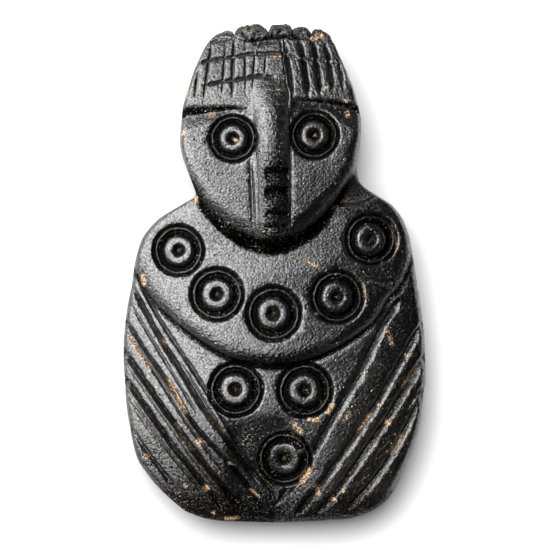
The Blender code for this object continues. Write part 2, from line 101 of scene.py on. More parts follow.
# The collar's lower edge, and the line where the right shoulder meets the neck.
COLLAR_EDGE = [
    (-22.6, 2.6), (-21.0, 0.3), (-19.8, -1.7), (-18.7, -3.5), (-17.2, -5.3), (-14.2, -8.0), (-11.2, -10.2),
    (-8.2, -12.0), (-5.9, -13.0), (-2.9, -13.7), (0.1, -13.9), (2.3, -13.7), (5.3, -13.0), (9.1, -11.4),
    (12.1, -9.6), (15.1, -7.2), (17.1, -3.9), (18.6, -2.4), (19.7, -0.5), (20.9, 2.9), (21.8, 6.1),
]
NECK_LINE = [(7.0, 9.6), (10.2, 10.2), (11.7, 10.2), (13.2, 10.5), (14.7, 11.3), (16.5, 12.6), (18.0, 14.5)]

COLUMNS = 440            # cells across the front
ROWS = 680               # cells from foot to crown
SIDE_CELLS = 40          # of those, the ones that make each rounded side
FOOT_CELLS = 56          # the ones that make the rounded foot
CROWN_CELLS = 32         # the ones that make the crown's edge
BACK_STEP = 4            # one cell of the back for so many of the front
PLAN_STEPS = 6           # points of a smooth side between two of its own
OUTLINE_STEPS = 4        # the same, for the closed outline
EDGE_STEPS = 3           # the same, for the carved edges
ROUND_SAMPLES = 400      # points along a rounded edge from which its even steps are read
MOST_TRIANGLES = 196000

# ---- Heights and rounding -----------------------------------------------------------------------------

FOOT_Y = -37.5
CROWN_Y = 37.5
FOOT_BULGE_POWER = 6     # how soon the outline of the foot and of the crown fades up the stone
CROWN_BULGE_POWER = 14

# The widest line round the stone, where front and back meet.
TORSO_RIM = 8.0
HEAD_RIM = 9.0
RIM_CHANGE = (8.0, 14.0)

# The rounded front edge: its width, and its boxiness as the power of a superellipse.
SIDE_ROUND = (1.3, 4.5)
HEAD_ROUND = (0.9, 5.0)
FOOT_ROUND = (2.2, 3.4)
HEAD_CHANGE = (9.5, 13.0)
FOOT_CHANGE = (-28.0, -35.0)
SIDE_ROUND_HEIGHT = 7.0
# The same at the two ends: width, height and boxiness.
FOOT_END_ROUND = (1.8, 6.0, 3.4)
CROWN_END_ROUND = (1.0, 6.0, 4.5)
# Rough width of the stone along its height, for the share that its rounded sides take of it.
WIDTHS = [(-37.5, 26.0), (-34.0, 35.0), (-28.0, 41.0), (-15.0, 45.5), (0.0, 42.0), (8.0, 36.0), (13.0, 25.0),
          (20.0, 27.0), (30.0, 23.0), (37.5, 17.0)]

BACK_ROUND = 8.0         # width of the back's rounded edge
BACK_FLAT_TOP_Y = 10.0   # the back is flat up to here
BACK_FLAT_REACH = 25.5   # and rises over this length
BACK_FIRST_RISE = 0.5    # a small step where it leaves the flat, and then a long curve
BACK_FIRST_CHANGE = (0.0, 0.15)
BACK_RISE = 3.6
BACK_RISE_POWER = 1.5

TORSO_CREST = 16.4       # height of the torso's middle line
TORSO_HALF_WIDTH = 22.8
TORSO_LEFT_FALL = 4.8    # how far each side falls, and how late it does
TORSO_LEFT_POWER = 1.9
TORSO_RIGHT_FALL = 3.3
TORSO_RIGHT_POWER = 2.6
TORSO_FOOT_FALL = 4.3
LEFT_FOOT_EASE = 0.5     # share of the left side's fall that is gone at the foot
BELLY_Y = -18.0          # the torso falls from here to the foot
SHOULDER_Y = 2.0         # and from here to the neck, over this length
SHOULDER_REACH = 10.0
SHOULDER_MOST = 1.5      # of those lengths, past which it falls no further
NECK_FALL = 0.6
BIB_STEP = 0.9           # how far the bib drops below its two upper rings
BIB_STEP_Y = (-20.5, -25.5)
BIB_STEP_X = -2.0        # the middle of that drop, and how far from it the drop is gone and full
BIB_STEP_REACH = (5.8, 3.0)
DENT = 1.3               # depth of the shallow dent round the lowest ring
DENT_PLACE = (1.0, -29.0)
DENT_RADIUS = 5.2

COLLAR_RISE = 1.5        # how far the collar stands above the torso
COLLAR_BEVEL = 2.6
COLLAR_LINE = 0.2        # depth of the line under the collar
COLLAR_LINE_MORE = 0.4   # how much deeper it is at the middle
COLLAR_LINE_MIDDLE = 9.0     # how far that middle reaches
COLLAR_LINE_WIDTH = 0.55
COLLAR_FALL_MOST = 0.9   # how far its sides fall from its ridge at most
RIDGE_X = 1.0            # its highest line, how round that is, and how much its sides tilt away
RIDGE_ROUND = 2.0
LEFT_TILT = 0.02
RIGHT_TILT = 0.035
CHIN_POINT = (-0.6, 6.0)     # the middle and the reach of the hollow under the chin
CHIN_REACH = (12.0, 6.0)
CHIN_HOLLOW = 0.5
NAPE_BASE_Y = 8.0        # the neck shows beside the head above this
NAPE_STEP = 1.3          # the right shoulder drops to the neck by a step and then a slope
NAPE_STEP_CHANGE = (-0.15, 0.5)
NAPE_SLOPE = 1.8
NAPE_SLOPE_CHANGE = (0.5, 5.0)

FACE_MIDDLE_X = -0.6
FACE_CREST = 19.2
FACE_HIGH_Y = 11.0       # the face is highest here, and falls towards the crown
FACE_HALF_WIDTH = 13.6
FACE_LEFT_EASE = 0.8     # how much of that half width each side's fall counts
FACE_RIGHT_EASE = 0.86
FACE_SIDE_FALL = 1.3
FACE_SIDE_POWER = 1.4
FACE_CROWN_FALL = 4.8
FACE_CROWN_POWER = 2.6
FACE_STEP_CHANGE = (-0.2, 0.2)
# The rolled edge of the face: its width and drop at the jaw, and how much more they are at the chin.
JAW_CHANGE = (26.0, 17.0)
CHIN_CHANGE = (17.0, 5.0)
JAW_WIDTH = 1.6
CHIN_WIDTH = 2.9
JAW_LEFT_DROP = 0.6
JAW_RIGHT_DROP = 1.1
CHIN_DROP = 2.6
ROLL_SLOPE = 0.3         # shares of the drop that fall evenly and that curl under
ROLL_CURL = 0.7

NOSE_CREST_X = -0.35
NOSE_HALF_WIDTH = 2.65
NOSE_BROW_WIDTH = 3.0    # half its width where it meets the brow
NOSE_BROW_CHANGE = (20.0, 26.0)
NOSE_RISE = 1.5
NOSE_POWER = 2.2
NOSE_TOP_CHANGE = (30.0, 23.0)
NOSE_FOOT_CHANGE = (2.8, 5.5)
NOTCH_LEFT_CHANGE = (-1.7, -0.9)
NOTCH_RIGHT_CHANGE = (2.2, 1.9)
# Notches across the nose: top, deepest line, foot, depth.
NOTCHES = [
    (16.0, 15.2, 13.4, 0.8), (13.2, 12.3, 10.9, 0.9), (9.6, 9.0, 8.1, 0.5), (7.7, 7.0, 5.6, 0.4),
]

# The hollow over each eye: along x, the line of its top edge, of its deepest run and of its foot, its depth.
LEFT_BROW = [
    (-14.8, 25.3, 23.5, 21.0, 0.85), (-12.0, 25.4, 23.8, 21.7, 0.85), (-10.0, 25.4, 24.1, 22.4, 0.8),
    (-8.0, 25.4, 24.4, 23.1, 0.75), (-6.0, 25.4, 24.6, 23.7, 0.65), (-4.4, 25.1, 24.6, 24.0, 0.4),
    (-3.8, 24.8, 24.5, 24.1, 0.0),
]
RIGHT_BROW = [
    (2.3, 26.3, 25.8, 24.4, 0.0), (3.2, 26.5, 25.9, 24.2, 0.6), (5.5, 26.45, 25.75, 23.8, 0.8),
    (8.0, 26.3, 25.5, 23.5, 0.9), (10.5, 26.1, 25.0, 22.4, 1.0), (12.0, 25.7, 24.4, 21.6, 1.1),
    (14.0, 25.0, 23.6, 20.4, 1.2),
]

# The drilled ring-and-dot marks: x, y, outer radius.
RINGS = [
    (-6.2, 20.3, 3.75), (6.0, 20.8, 3.85), (-14.4, 3.5, 4.05), (-8.6, -3.1, 4.2), (-0.1, -6.0, 4.35),
    (9.4, -3.5, 4.2), (14.5, 5.2, 4.1), (-5.8, -17.4, 4.3), (4.6, -17.5, 4.35), (1.5, -27.8, 4.3),
]

# How thick the earth is round each ring.
RING_EARTH = [0.3, 0.42, 0.35, 0.4, 0.5, 0.48, 0.45, 0.35, 0.4, 0.62]
RING_EARTH_EDGE = 0.99   # where it lies, in outer radii
RING_EARTH_WIDTH = 0.3
RING_EARTH_EVEN = 0.7    # the share that lies all round, and the share that leans to the left
RING_EARTH_LEAN = 0.3
DOT_EARTH = 0.66         # how thick it is in the dot
DOT_EARTH_SIZE = 0.16    # and how wide, in outer radii
# A thin scatter of earth over the lower flanks, outside a V that narrows towards the foot.
FLANK_EARTH = 0.3
FLANK_EARTH_Y = (-6.0, -18.0)
FLANK_EARTH_OUT = (8.0, 14.0)
FLANK_EARTH_NARROWS = 0.35
FLANK_EARTH_MIDDLE_Y = -16.0

# Runs of earth: from x, y to x, y, how far it spreads and how thick it is.
EARTH = [
    (-21.9, -9.5, -18.8, -14.5, 0.5, 0.75), (-16.9, -10.1, -16.4, -10.4, 0.7, 0.7),
    (-16.0, -16.0, -13.5, -20.8, 0.6, 0.85), (-11.2, -20.8, -7.0, -24.3, 0.8, 0.55),
    (-15.0, -22.7, -12.7, -26.5, 0.7, 0.6), (-11.5, -25.3, -11.3, -25.4, 0.7, 1.0),
    (-10.3, -32.2, -10.2, -32.3, 0.7, 1.0), (-13.5, -31.9, -13.4, -31.9, 0.5, 0.9),
    (-19.5, -27.5, -19.4, -27.6, 0.6, 0.9), (-6.6, -28.6, -6.5, -28.7, 0.5, 0.9),
    (-9.3, -36.0, -9.2, -36.0, 0.5, 0.8), (-7.3, -36.9, -5.5, -36.8, 0.5, 0.9),
    (-3.5, -32.6, -2.4, -33.6, 0.5, 0.8), (-19.8, -0.3, -19.6, -1.6, 0.6, 1.0),
    (16.8, -8.4, 17.7, -10.6, 0.6, 0.85), (15.0, -8.7, 15.1, -8.8, 0.5, 0.7),
    (20.0, -12.2, 20.1, -12.3, 0.5, 0.9), (21.8, -13.7, 19.5, -16.9, 0.7, 0.85),
    (10.5, -15.9, 10.5, -15.9, 0.35, 1.2), (10.3, -11.9, 10.3, -11.9, 0.3, 1.0),
    (12.1, -13.4, 12.2, -13.4, 0.3, 1.0), (13.7, -14.9, 13.7, -15.2, 0.4, 0.8),
    (11.3, -20.9, 10.3, -22.2, 0.5, 0.8), (14.4, -21.2, 12.8, -23.3, 0.7, 0.75),
    (15.8, -19.8, 15.8, -19.8, 0.35, 1.2), (17.3, -22.3, 17.2, -22.4, 0.6, 1.0),
    (19.1, -24.4, 17.7, -26.8, 0.8, 0.85), (8.7, -19.8, 8.2, -20.9, 0.6, 1.1),
    (6.7, -21.9, 5.2, -21.9, 0.6, 0.9), (3.0, -22.8, 3.9, -23.8, 0.8, 0.8),
    (5.3, -29.5, 4.2, -31.1, 0.7, 0.9), (3.7, -26.7, 3.8, -26.7, 0.6, 0.8),
    (6.9, -33.4, 6.0, -31.8, 0.8, 0.7), (10.3, -32.7, 10.4, -32.6, 0.4, 1.1),
    (9.0, -34.0, 9.1, -34.2, 0.6, 0.8), (12.9, -35.4, 13.0, -35.4, 0.6, 0.6),
    (0.8, 2.9, 3.8, 2.4, 0.25, 0.95), (3.8, 2.4, 7.6, 0.5, 0.35, 1.0), (14.2, -1.1, 17.4, -2.0, 0.25, 0.7),
    (17.6, 7.2, 18.6, 3.8, 0.5, 0.7), (16.0, 1.8, 16.1, 1.8, 0.5, 0.7), (13.2, -0.6, 13.7, -3.6, 0.45, 0.7),
    (6.3, -6.0, 6.4, -6.1, 0.5, 0.8), (11.7, -7.1, 11.8, -7.1, 0.5, 0.7),
    (-1.6, -10.4, 0.8, -10.5, 0.4, 0.55), (22.0, -3.2, 21.4, -0.6, 0.7, 0.6),
    (10.6, 10.8, 11.6, 12.0, 0.8, 0.6), (-11.7, 10.7, -11.8, 11.4, 0.6, 0.9),
    (-9.7, 23.9, -9.0, 23.9, 0.6, 0.9), (10.9, 24.1, 11.0, 23.9, 0.7, 0.9),
    (10.6, 26.0, 10.8, 26.0, 0.45, 1.0), (7.8, 27.9, 7.8, 27.9, 0.4, 1.1),
    (-0.5, 32.6, 1.0, 32.6, 0.35, 0.8), (5.8, 35.4, 6.9, 35.8, 0.6, 1.1), (3.4, 16.6, 6.1, 16.4, 0.4, 0.75),
    (8.7, 17.5, 8.8, 17.5, 0.5, 0.8), (-9.1, 20.0, -9.1, 20.1, 0.5, 0.7),
    (-5.9, 20.1, -5.8, 20.0, 0.5, 0.9), (-13.6, 21.5, -13.9, 20.5, 0.5, 0.8),
    (-12.9, 28.6, -13.3, 26.2, 0.5, 0.7), (-4.0, 36.3, -2.5, 36.6, 0.8, 0.6),
    (-1.5, 27.6, 1.5, 27.6, 0.35, 0.7), (-5.5, 31.9, -5.4, 31.9, 0.4, 0.8),
    (-17.1, 5.0, -17.1, 5.0, 0.4, 0.8), (-8.4, -6.4, -8.3, -6.5, 0.4, 0.6),
]

SHORTEST_RUN = 0.00003   # a run that begins and ends in one place counts as this long

# Pitted patches: x, y, radius, strength.
ROUGH_PATCHES = [
    (-3.6, -24.0, 3.2, 1.0), (3.5, -23.0, 3.0, 0.8), (-8.0, -30.0, 3.5, 0.8), (7.0, -33.0, 5.0, 0.6),
    (18.5, -1.0, 3.0, 0.6), (-9.0, 6.0, 3.0, 0.5), (12.5, 24.0, 3.0, 0.4),
]

PLAIN_HIDDEN = 0.36      # how much of the polish the sides and back lack, as a cut's share of depth
PLAIN_ROUGH = 0.4        # how pitted they are
CARVED_LIFT = (0.05, 0.35)   # height on the rounded edge, as a share, over which the carving comes in
MASKED_LIFT = (0.3, 0.8)     # and over which the front's finish does


# ---- Small tools --------------------------------------------------------------------------------------

def smoothstep(low, high, value):
    """0 below low, 1 above high, and a smooth rise between them."""
    t = np.clip((value - low) / (high - low), 0.0, 1.0)
    return t * t * (3.0 - 2.0 * t)


def bell(value, width):
    """1 at zero, falling smoothly to almost nothing at twice the width."""
    return np.exp(-(value / width) ** 2)


def spot(x, y, centre_x, centre_y, radius):
    """1 at a place in plan, falling smoothly to almost nothing at twice the radius."""
    return np.exp(-((x - centre_x) ** 2 + (y - centre_y) ** 2) / radius ** 2)


def notch(value, top, deep, foot):
    """1 at the deepest line of a notch, falling straight to 0 at its top and its foot."""
    return np.clip(np.minimum((top - value) / (top - deep), (value - foot) / (deep - foot)), 0.0, 1.0)


def catmull(points, steps):
    """A smooth open curve through the points, as an array of places."""
    points = np.array(points, float)
    padded = np.vstack([points[:1], points, points[-1:]])
    t = np.linspace(0.0, 1.0, steps, endpoint=False)[:, None]
    spans = []
    for index in range(len(points) - 1):
        a, b, c, d = padded[index:index + 4]
        spans.append(0.5 * (2 * b + (c - a) * t + (2 * a - 5 * b + 4 * c - d) * t ** 2
                            + (3 * b - a - 3 * c + d) * t ** 3))
    return np.vstack(spans + [points[-1:]])


def line_distance(x, y, line):
    """Signed distance to an open line in plan, positive on its left."""
    nearest = np.full(x.shape, np.inf)
    sign = np.ones(x.shape)
    for (ax, ay), (bx, by) in zip(line[:-1], line[1:]):
        dx, dy = bx - ax, by - ay
        px, py = x - ax, y - ay
        along = np.clip((px * dx + py * dy) / (dx * dx + dy * dy), 0.0, 1.0)
        gap = np.hypot(px - along * dx, py - along * dy)
        closer = gap < nearest
        nearest[closer] = gap[closer]
        sign[closer] = np.sign(dx * py - dy * px)[closer]
    return nearest * sign


def rounded_edge(cells, width, height, boxiness):
    """Even steps along a quarter of a superellipse, as shares of its width and height from the rim up."""
    angle = np.linspace(0.0, math.pi / 2.0, ROUND_SAMPLES)
    across = 1.0 - np.cos(angle) ** (2.0 / boxiness)
    up = np.sin(angle) ** (2.0 / boxiness)
    run = np.concatenate([[0.0], np.cumsum(np.hypot(np.diff(across) * width, np.diff(up) * height))])
    steps = np.linspace(0.0, run[-1], cells + 1)
    return np.interp(steps, run, across), np.interp(steps, run, up)


def edged_line(cells, length, start, end):
    """Shares of a length for a row of cells with a rounded edge at each end, and the rise at each cell.

    start and end are (cells, width, height, boxiness) of the two edges.
    """
    first, first_rise = rounded_edge(*start)
    last, last_rise = rounded_edge(*end)
    low, high = start[1] / length, 1.0 - end[1] / length
    middle = np.linspace(low, high, cells - start[0] - end[0] + 1)[1:-1]
    places = np.concatenate([first * low, middle, (1.0 - last * (1.0 - high))[::-1]])
    rises = np.concatenate([first_rise, np.ones(len(middle)), last_rise[::-1]])
    return places, rises


# ---- The forms ----------------------------------------------------------------------------------------

def plan_place(u, v):
    """The place in plan of the stone's own coordinates: u runs across it and v from foot to crown."""
    left, right, foot, crown = (catmull(line, PLAN_STEPS) for line in (LEFT_SIDE, RIGHT_SIDE, FOOT, CROWN))
    left_y = left[0, 1] + (left[-1, 1] - left[0, 1]) * v
    right_y = right[0, 1] + (right[-1, 1] - right[0, 1]) * v
    left_x = np.interp(left_y, left[:, 1], left[:, 0])
    right_x = np.interp(right_y, right[:, 1], right[:, 0])
    x = left_x + (right_x - left_x) * u

    def bulge(line):
        """How far an end's line stands above the straight one between its corners."""
        first, last = line[0], line[-1]
        along = first[0] + (last[0] - first[0]) * u
        return np.interp(along, line[:, 0], line[:, 1]) - (first[1] + (last[1] - first[1]) * u)

    y = (left_y + (right_y - left_y) * u + (1 - v) ** FOOT_BULGE_POWER * bulge(foot)
         + v ** CROWN_BULGE_POWER * bulge(crown))
    return x, y


def outline():
    """The stone's whole outline in plan, as one closed line."""
    foot, right, crown, left = (catmull(line, OUTLINE_STEPS) for line in (FOOT, RIGHT_SIDE, CROWN, LEFT_SIDE))
    sides = [foot, right, crown[::-1], left[::-1]]
    return np.vstack([side[:-1] for side in sides] + [sides[0][:1]])


def measures(x, y):
    """What the forms and masks are set out from: the place in plan, and how far inside each edge it is."""
    at = {"x": x, "y": y}
    for name, edge in (("face", FACE_EDGE), ("collar", COLLAR_EDGE), ("neck", NECK_LINE)):
        at[name] = line_distance(x, y, catmull(edge, EDGE_STEPS))
    return at


def torso_front(x, y):
    side = np.abs(x) / TORSO_HALF_WIDTH
    falls = np.where(x < 0.0, TORSO_LEFT_FALL * side ** TORSO_LEFT_POWER,
                     TORSO_RIGHT_FALL * side ** TORSO_RIGHT_POWER)
    foot = np.clip((BELLY_Y - y) / (BELLY_Y - FOOT_Y), 0.0, None)
    falls = falls * np.where(x < 0.0, 1.0 - LEFT_FOOT_EASE * foot ** 2, 1.0)
    neck = np.clip((y - SHOULDER_Y) / SHOULDER_REACH, 0.0, SHOULDER_MOST)
    step = smoothstep(*BIB_STEP_Y, y) * smoothstep(*BIB_STEP_REACH, np.abs(x - BIB_STEP_X))
    sunk = BIB_STEP * step + DENT * spot(x, y, *DENT_PLACE, DENT_RADIUS)
    return TORSO_CREST - falls - TORSO_FOOT_FALL * foot ** 2 - NECK_FALL * neck ** 2 - sunk


def collar_front(x, y):
    across = (x - CHIN_POINT[0]) / CHIN_REACH[0]
    down = (y - CHIN_POINT[1]) / CHIN_REACH[1]
    near = np.clip(1.0 - across ** 2 - down ** 2, 0.0, 1.0)
    from_ridge = np.sqrt((x - RIDGE_X) ** 2 + RIDGE_ROUND ** 2) - RIDGE_ROUND
    fall = np.where(x > RIDGE_X, RIGHT_TILT, LEFT_TILT) * from_ridge
    return torso_front(x, y) + COLLAR_RISE - np.minimum(fall, COLLAR_FALL_MOST) - CHIN_HOLLOW * near


def face_front(x, y):
    ease = np.where(x < FACE_MIDDLE_X, FACE_LEFT_EASE, FACE_RIGHT_EASE)
    side = np.abs(x - FACE_MIDDLE_X) / FACE_HALF_WIDTH * ease
    crown = np.clip((y - FACE_HIGH_Y) / (CROWN_Y - FACE_HIGH_Y), 0.0, None)
    return FACE_CREST - FACE_SIDE_FALL * side ** FACE_SIDE_POWER - FACE_CROWN_FALL * crown ** FACE_CROWN_POWER


def front_height(at):
    """The carved front before it is drilled and scored."""
    x, y = at["x"], at["y"]
    rise = np.sqrt(1.0 - (1.0 - np.clip(at["collar"] / COLLAR_BEVEL, 0.0, 1.0)) ** 2)
    torso = torso_front(x, y)
    chest = torso + (collar_front(x, y) - torso) * rise
    line = COLLAR_LINE + COLLAR_LINE_MORE * bell(x, COLLAR_LINE_MIDDLE)
    chest -= line * bell(at["collar"], COLLAR_LINE_WIDTH)
    for drop, change in ((NAPE_STEP, NAPE_STEP_CHANGE), (NAPE_SLOPE, NAPE_SLOPE_CHANGE)):
        chest -= drop * smoothstep(*change, at["neck"]) * (y > NAPE_BASE_Y) * (x > 0)

    chin = smoothstep(*CHIN_CHANGE, y)
    drop = (np.where(x < 0.0, JAW_LEFT_DROP, JAW_RIGHT_DROP) + CHIN_DROP * chin) * smoothstep(*JAW_CHANGE, y)
    rolled = 1.0 - np.clip(at["face"] / (JAW_WIDTH + CHIN_WIDTH * chin), 0.0, 1.0)
    face = face_front(x, y) - drop * (ROLL_SLOPE * rolled + ROLL_CURL * rolled ** 3)
    face = face + nose_rise(x, y) - sum(share * depth for share, depth, upper in brow_cuts(x, y))
    return chest + (face - chest) * smoothstep(*FACE_STEP_CHANGE, at["face"])


def nose_rise(x, y):
    """The nose: a rounded ridge from the hair to the chin, notched across its lower half."""
    width = NOSE_HALF_WIDTH + (NOSE_BROW_WIDTH - NOSE_HALF_WIDTH) * smoothstep(*NOSE_BROW_CHANGE, y)
    off = np.clip(np.abs(x - NOSE_CREST_X) / width, 0.0, 1.0)
    rise = NOSE_RISE * (1.0 - off ** NOSE_POWER) * smoothstep(*NOSE_TOP_CHANGE, y)
    rise = rise * smoothstep(*NOSE_FOOT_CHANGE, y)
    across = smoothstep(*NOTCH_LEFT_CHANGE, x) * smoothstep(*NOTCH_RIGHT_CHANGE, x)
    for top, deep, foot, depth in NOTCHES:
        rise = rise - depth * across * notch(y, top, deep, foot)
    return rise


def brow_cuts(x, y):
    """Each hollow over an eye: how near its deepest line, from 0 to 1, the depth there, its upper wall."""
    for brow in (LEFT_BROW, RIGHT_BROW):
        along = np.array(brow)[:, 0]
        top, deep, foot, depth = (np.interp(x, along, line) for line in np.array(brow).T[1:])
        inside = (x > along[0]) & (x < along[-1])
        yield np.where(inside, notch(y, top, deep, foot), 0.0), depth, y > deep


def back_height(y):
    """The plain back: flat where it rests, and rising under the neck and head."""
    share = np.clip((y - BACK_FLAT_TOP_Y) / BACK_FLAT_REACH, 0.0, 1.0)
    return BACK_FIRST_RISE * smoothstep(*BACK_FIRST_CHANGE, share) + BACK_RISE * share ** BACK_RISE_POWER


def rim_height(y):
    return TORSO_RIM + (HEAD_RIM - TORSO_RIM) * smoothstep(*RIM_CHANGE, y)


def side_edge(y):
    """Width and boxiness of the rounded front edge along the sides: broad at the foot, tight at the head."""
    head = smoothstep(*HEAD_CHANGE, y)
    foot = smoothstep(*FOOT_CHANGE, y)
    return [side + (top - side) * head + (low - side) * foot
            for side, top, low in zip(SIDE_ROUND, HEAD_ROUND, FOOT_ROUND)]


# ---- Where the finish differs, and where shade is painted ---------------------------------------------

def banded(at, bands):
    """The strongest of some bands at each place.

    Each band is its strength, and then the runs that bound it: a measure, and the two of its values between
    which the band grows from nothing to full.
    """
    total = np.zeros(at["x"].shape)
    for strength, *runs in bands:
        for name, start, full in runs:
            strength = strength * smoothstep(start, full, at[name])
        total = np.maximum(total, strength)
    return total


def shade_and_polish_loss_map(at):
    """Where the polish is taken off, from 0 to 1: painted shade under the chin, by the neck, on walls facing
    down and towards the foot.
    """
    x, y = at["x"], at["y"]
    reach = 0.7 + 2.0 * smoothstep(11.0, 4.5, y)
    bands = [
        # painted shade in the hollow behind the jaw, wider under the chin
        (1.0, ("face", -0.6, -0.1), ("face", reach, 0.4 * reach - 0.2), ("y", 17.0, 11.0)),
        # painted shade on the rolled edge of the jaw itself
        (0.24, ("face", -0.2, 0.2), ("face", 2.6, 0.8), ("y", 18.0, 9.0)),
        # the line under the collar, unpolished and in painted shade, and painted shade on the lip above it,
        # most at their middle
        (0.5 + 0.5 * bell(x, 9.0), ("collar", -0.7, -0.3), ("collar", 0.5, 0.1)),
        (0.3 * bell(x - RIDGE_X, 8.0), ("collar", -0.2, 0.2), ("collar", 2.8, 1.2)),
        # painted shade over the lower body, and more so the foot: darker towards the bottom
        (np.where(x < 0.0, 0.2, 0.1) * smoothstep(-16.0, -28.0, y) + 0.24 * smoothstep(-29.5, -35.0, y),),
        # painted shade on the neck beside the head
        (0.4 * (y > NAPE_BASE_Y) * (x > 0.0), ("neck", 0.0, 1.0), ("face", -0.2, -0.6)),
        # less polish on the lower nose, and painted shade on the upper wall of each notch in it, which faces
        # down
        (0.26, ("x", -2.9, -1.7), ("x", 2.5, 1.9), ("y", 3.0, 5.0), ("y", 21.0, 15.0)),
    ]
    for top, deep, foot, depth in NOTCHES:
        bands.append((depth, ("x", -1.5, -0.9), ("x", *NOTCH_RIGHT_CHANGE), ("y", top, top - 0.3),
                      ("y", deep - 0.4, deep)))
    # painted shade on the upper wall of the hollow over each eye, which faces down
    for share, depth, upper in brow_cuts(x, y):
        bands.append((smoothstep(0.1, 0.4, share) * upper * np.minimum(1.4 * depth, 1.0),))
    return banded(at, bands)


def roughness_map(at):
    """Where the stone is pitted rather than polished, from 0 to 1, and above 1 where it is broken."""
    x, y = at["x"], at["y"]
    bands = [
        # the rolled edge of the chin, more on its left
        (np.where(x < 0.0, 1.0, 0.55), ("face", -0.4, 0.2),
         ("face", 1.6 + 2.4 * smoothstep(13.0, 5.0, y), 0.6), ("y", 20.0, 13.0)),
        # the nose
        (1.0, ("x", -2.9, -0.6), ("x", 2.5, 1.9), ("y", 3.0, 5.0), ("y", 30.0, 18.0)),
        # the collar's lower edge, most at its middle
        (bell(x, 11.0), ("collar", -0.6, 0.2), ("collar", 3.2, 1.4)),
        # the broken crown
        (1.5, ("y", 34.0, 35.6), ("x", -8.0, -4.0)),
        # the hair, more on its right
        (0.12 + 0.25 * smoothstep(-2.0, 3.0, x), ("y", 25.5, 27.5)),
        # the body below the collar, more towards the foot, and the foot
        (np.where(x < 0.0, 1.0, 0.8) * (0.06 + 0.46 * smoothstep(-12.0, -26.0, y)), ("collar", -0.3, -1.2),
         ("y", 8.0, 4.0)),
        (0.8, ("y", -29.0, -35.0)),
    ]
    bands += [(strength * spot(x, y, *place),) for *place, strength in ROUGH_PATCHES]
    return banded(at, bands)


def earth_map(at):
    """Where burial earth clings to the stone, from 0 to 1."""
    x, y = at["x"], at["y"]
    out = np.abs(x) + FLANK_EARTH_NARROWS * (FLANK_EARTH_MIDDLE_Y - y)
    total = FLANK_EARTH * smoothstep(*FLANK_EARTH_Y, y) * smoothstep(*FLANK_EARTH_OUT, out)
    for (ring_x, ring_y, radius), strength in zip(RINGS, RING_EARTH):
        gap = np.hypot(x - ring_x, y - ring_y) - RING_EARTH_EDGE * radius
        lean = RING_EARTH_EVEN + RING_EARTH_LEAN * np.sin(np.arctan2(ring_x - x, y - ring_y))
        total = np.maximum(total, strength * bell(gap, RING_EARTH_WIDTH) * lean)
        total = np.maximum(total, DOT_EARTH * spot(x, y, ring_x, ring_y, DOT_EARTH_SIZE * radius))
    for ax, ay, bx, by, radius, strength in EARTH:
        dx, dy = bx - ax, by - ay
        length_squared = max(dx * dx + dy * dy, SHORTEST_RUN ** 2)
        along = np.clip(((x - ax) * dx + (y - ay) * dy) / length_squared, 0.0, 1.0)
        gap = np.hypot(x - ax - along * dx, y - ay - along * dy)
        total = np.maximum(total, strength * bell(gap, radius))
    return total


# ---- The blank ----------------------------------------------------------------------------------------

def blank_mesh():
    """The stone before it is drilled and scored, as one closed mesh."""
    v, rise_v = edged_line(ROWS, CROWN_Y - FOOT_Y, (FOOT_CELLS, *FOOT_END_ROUND),
                           (CROWN_CELLS, *CROWN_END_ROUND))
    u, rise_u = np.empty((ROWS + 1, COLUMNS + 1)), np.empty((ROWS + 1, COLUMNS + 1))
    for row, height in enumerate(FOOT_Y + (CROWN_Y - FOOT_Y) * v):
        width, boxiness = side_edge(height)
        edge = (SIDE_CELLS, width, SIDE_ROUND_HEIGHT, boxiness)
        u[row], rise_u[row] = edged_line(COLUMNS, np.interp(height, *np.array(WIDTHS).T), edge, edge)
    x, y = plan_place(u, np.repeat(v[:, None], COLUMNS + 1, axis=1))
    at = measures(x, y)
    lift = rise_u * rise_v[:, None]
    rim = rim_height(y)
    front = np.stack([x, y, rim + (front_height(at) - rim) * lift], -1)

    step = BACK_STEP
    back_x, back_y = x[::step, ::step], y[::step, ::step]
    gap = np.abs(line_distance(back_x, back_y, outline()))
    drop = np.sqrt(1.0 - (1.0 - np.clip(gap / BACK_ROUND, 0.0, 1.0)) ** 2)
    rim = rim_height(back_y)
    back = np.stack([back_x, back_y, rim + (back_height(back_y) - rim) * drop], -1)

    mesh = stitched_mesh(front, back, step)
    finish = smoothstep(*MASKED_LIFT, lift)
    masks = {"lift": (smoothstep(*CARVED_LIFT, lift), 0.0)}
    # The cut mask starts as the painted shade of the shade map; the node trees then add the depth of each
    # cut.
    for name, make, plain in (("cut", shade_and_polish_loss_map, PLAIN_HIDDEN), ("rough", roughness_map, PLAIN_ROUGH),
                              ("earth", earth_map, 0.0)):
        masks[name] = (plain + (make(at) - plain) * finish, plain)
    for name, (values, plain) in masks.items():
        whole = np.concatenate([values.ravel(), np.full(len(mesh.vertices) - values.size, plain)])
        mesh.attributes.new(name, "FLOAT", "POINT").data.foreach_set("value", whole.astype(np.float32))
    return mesh


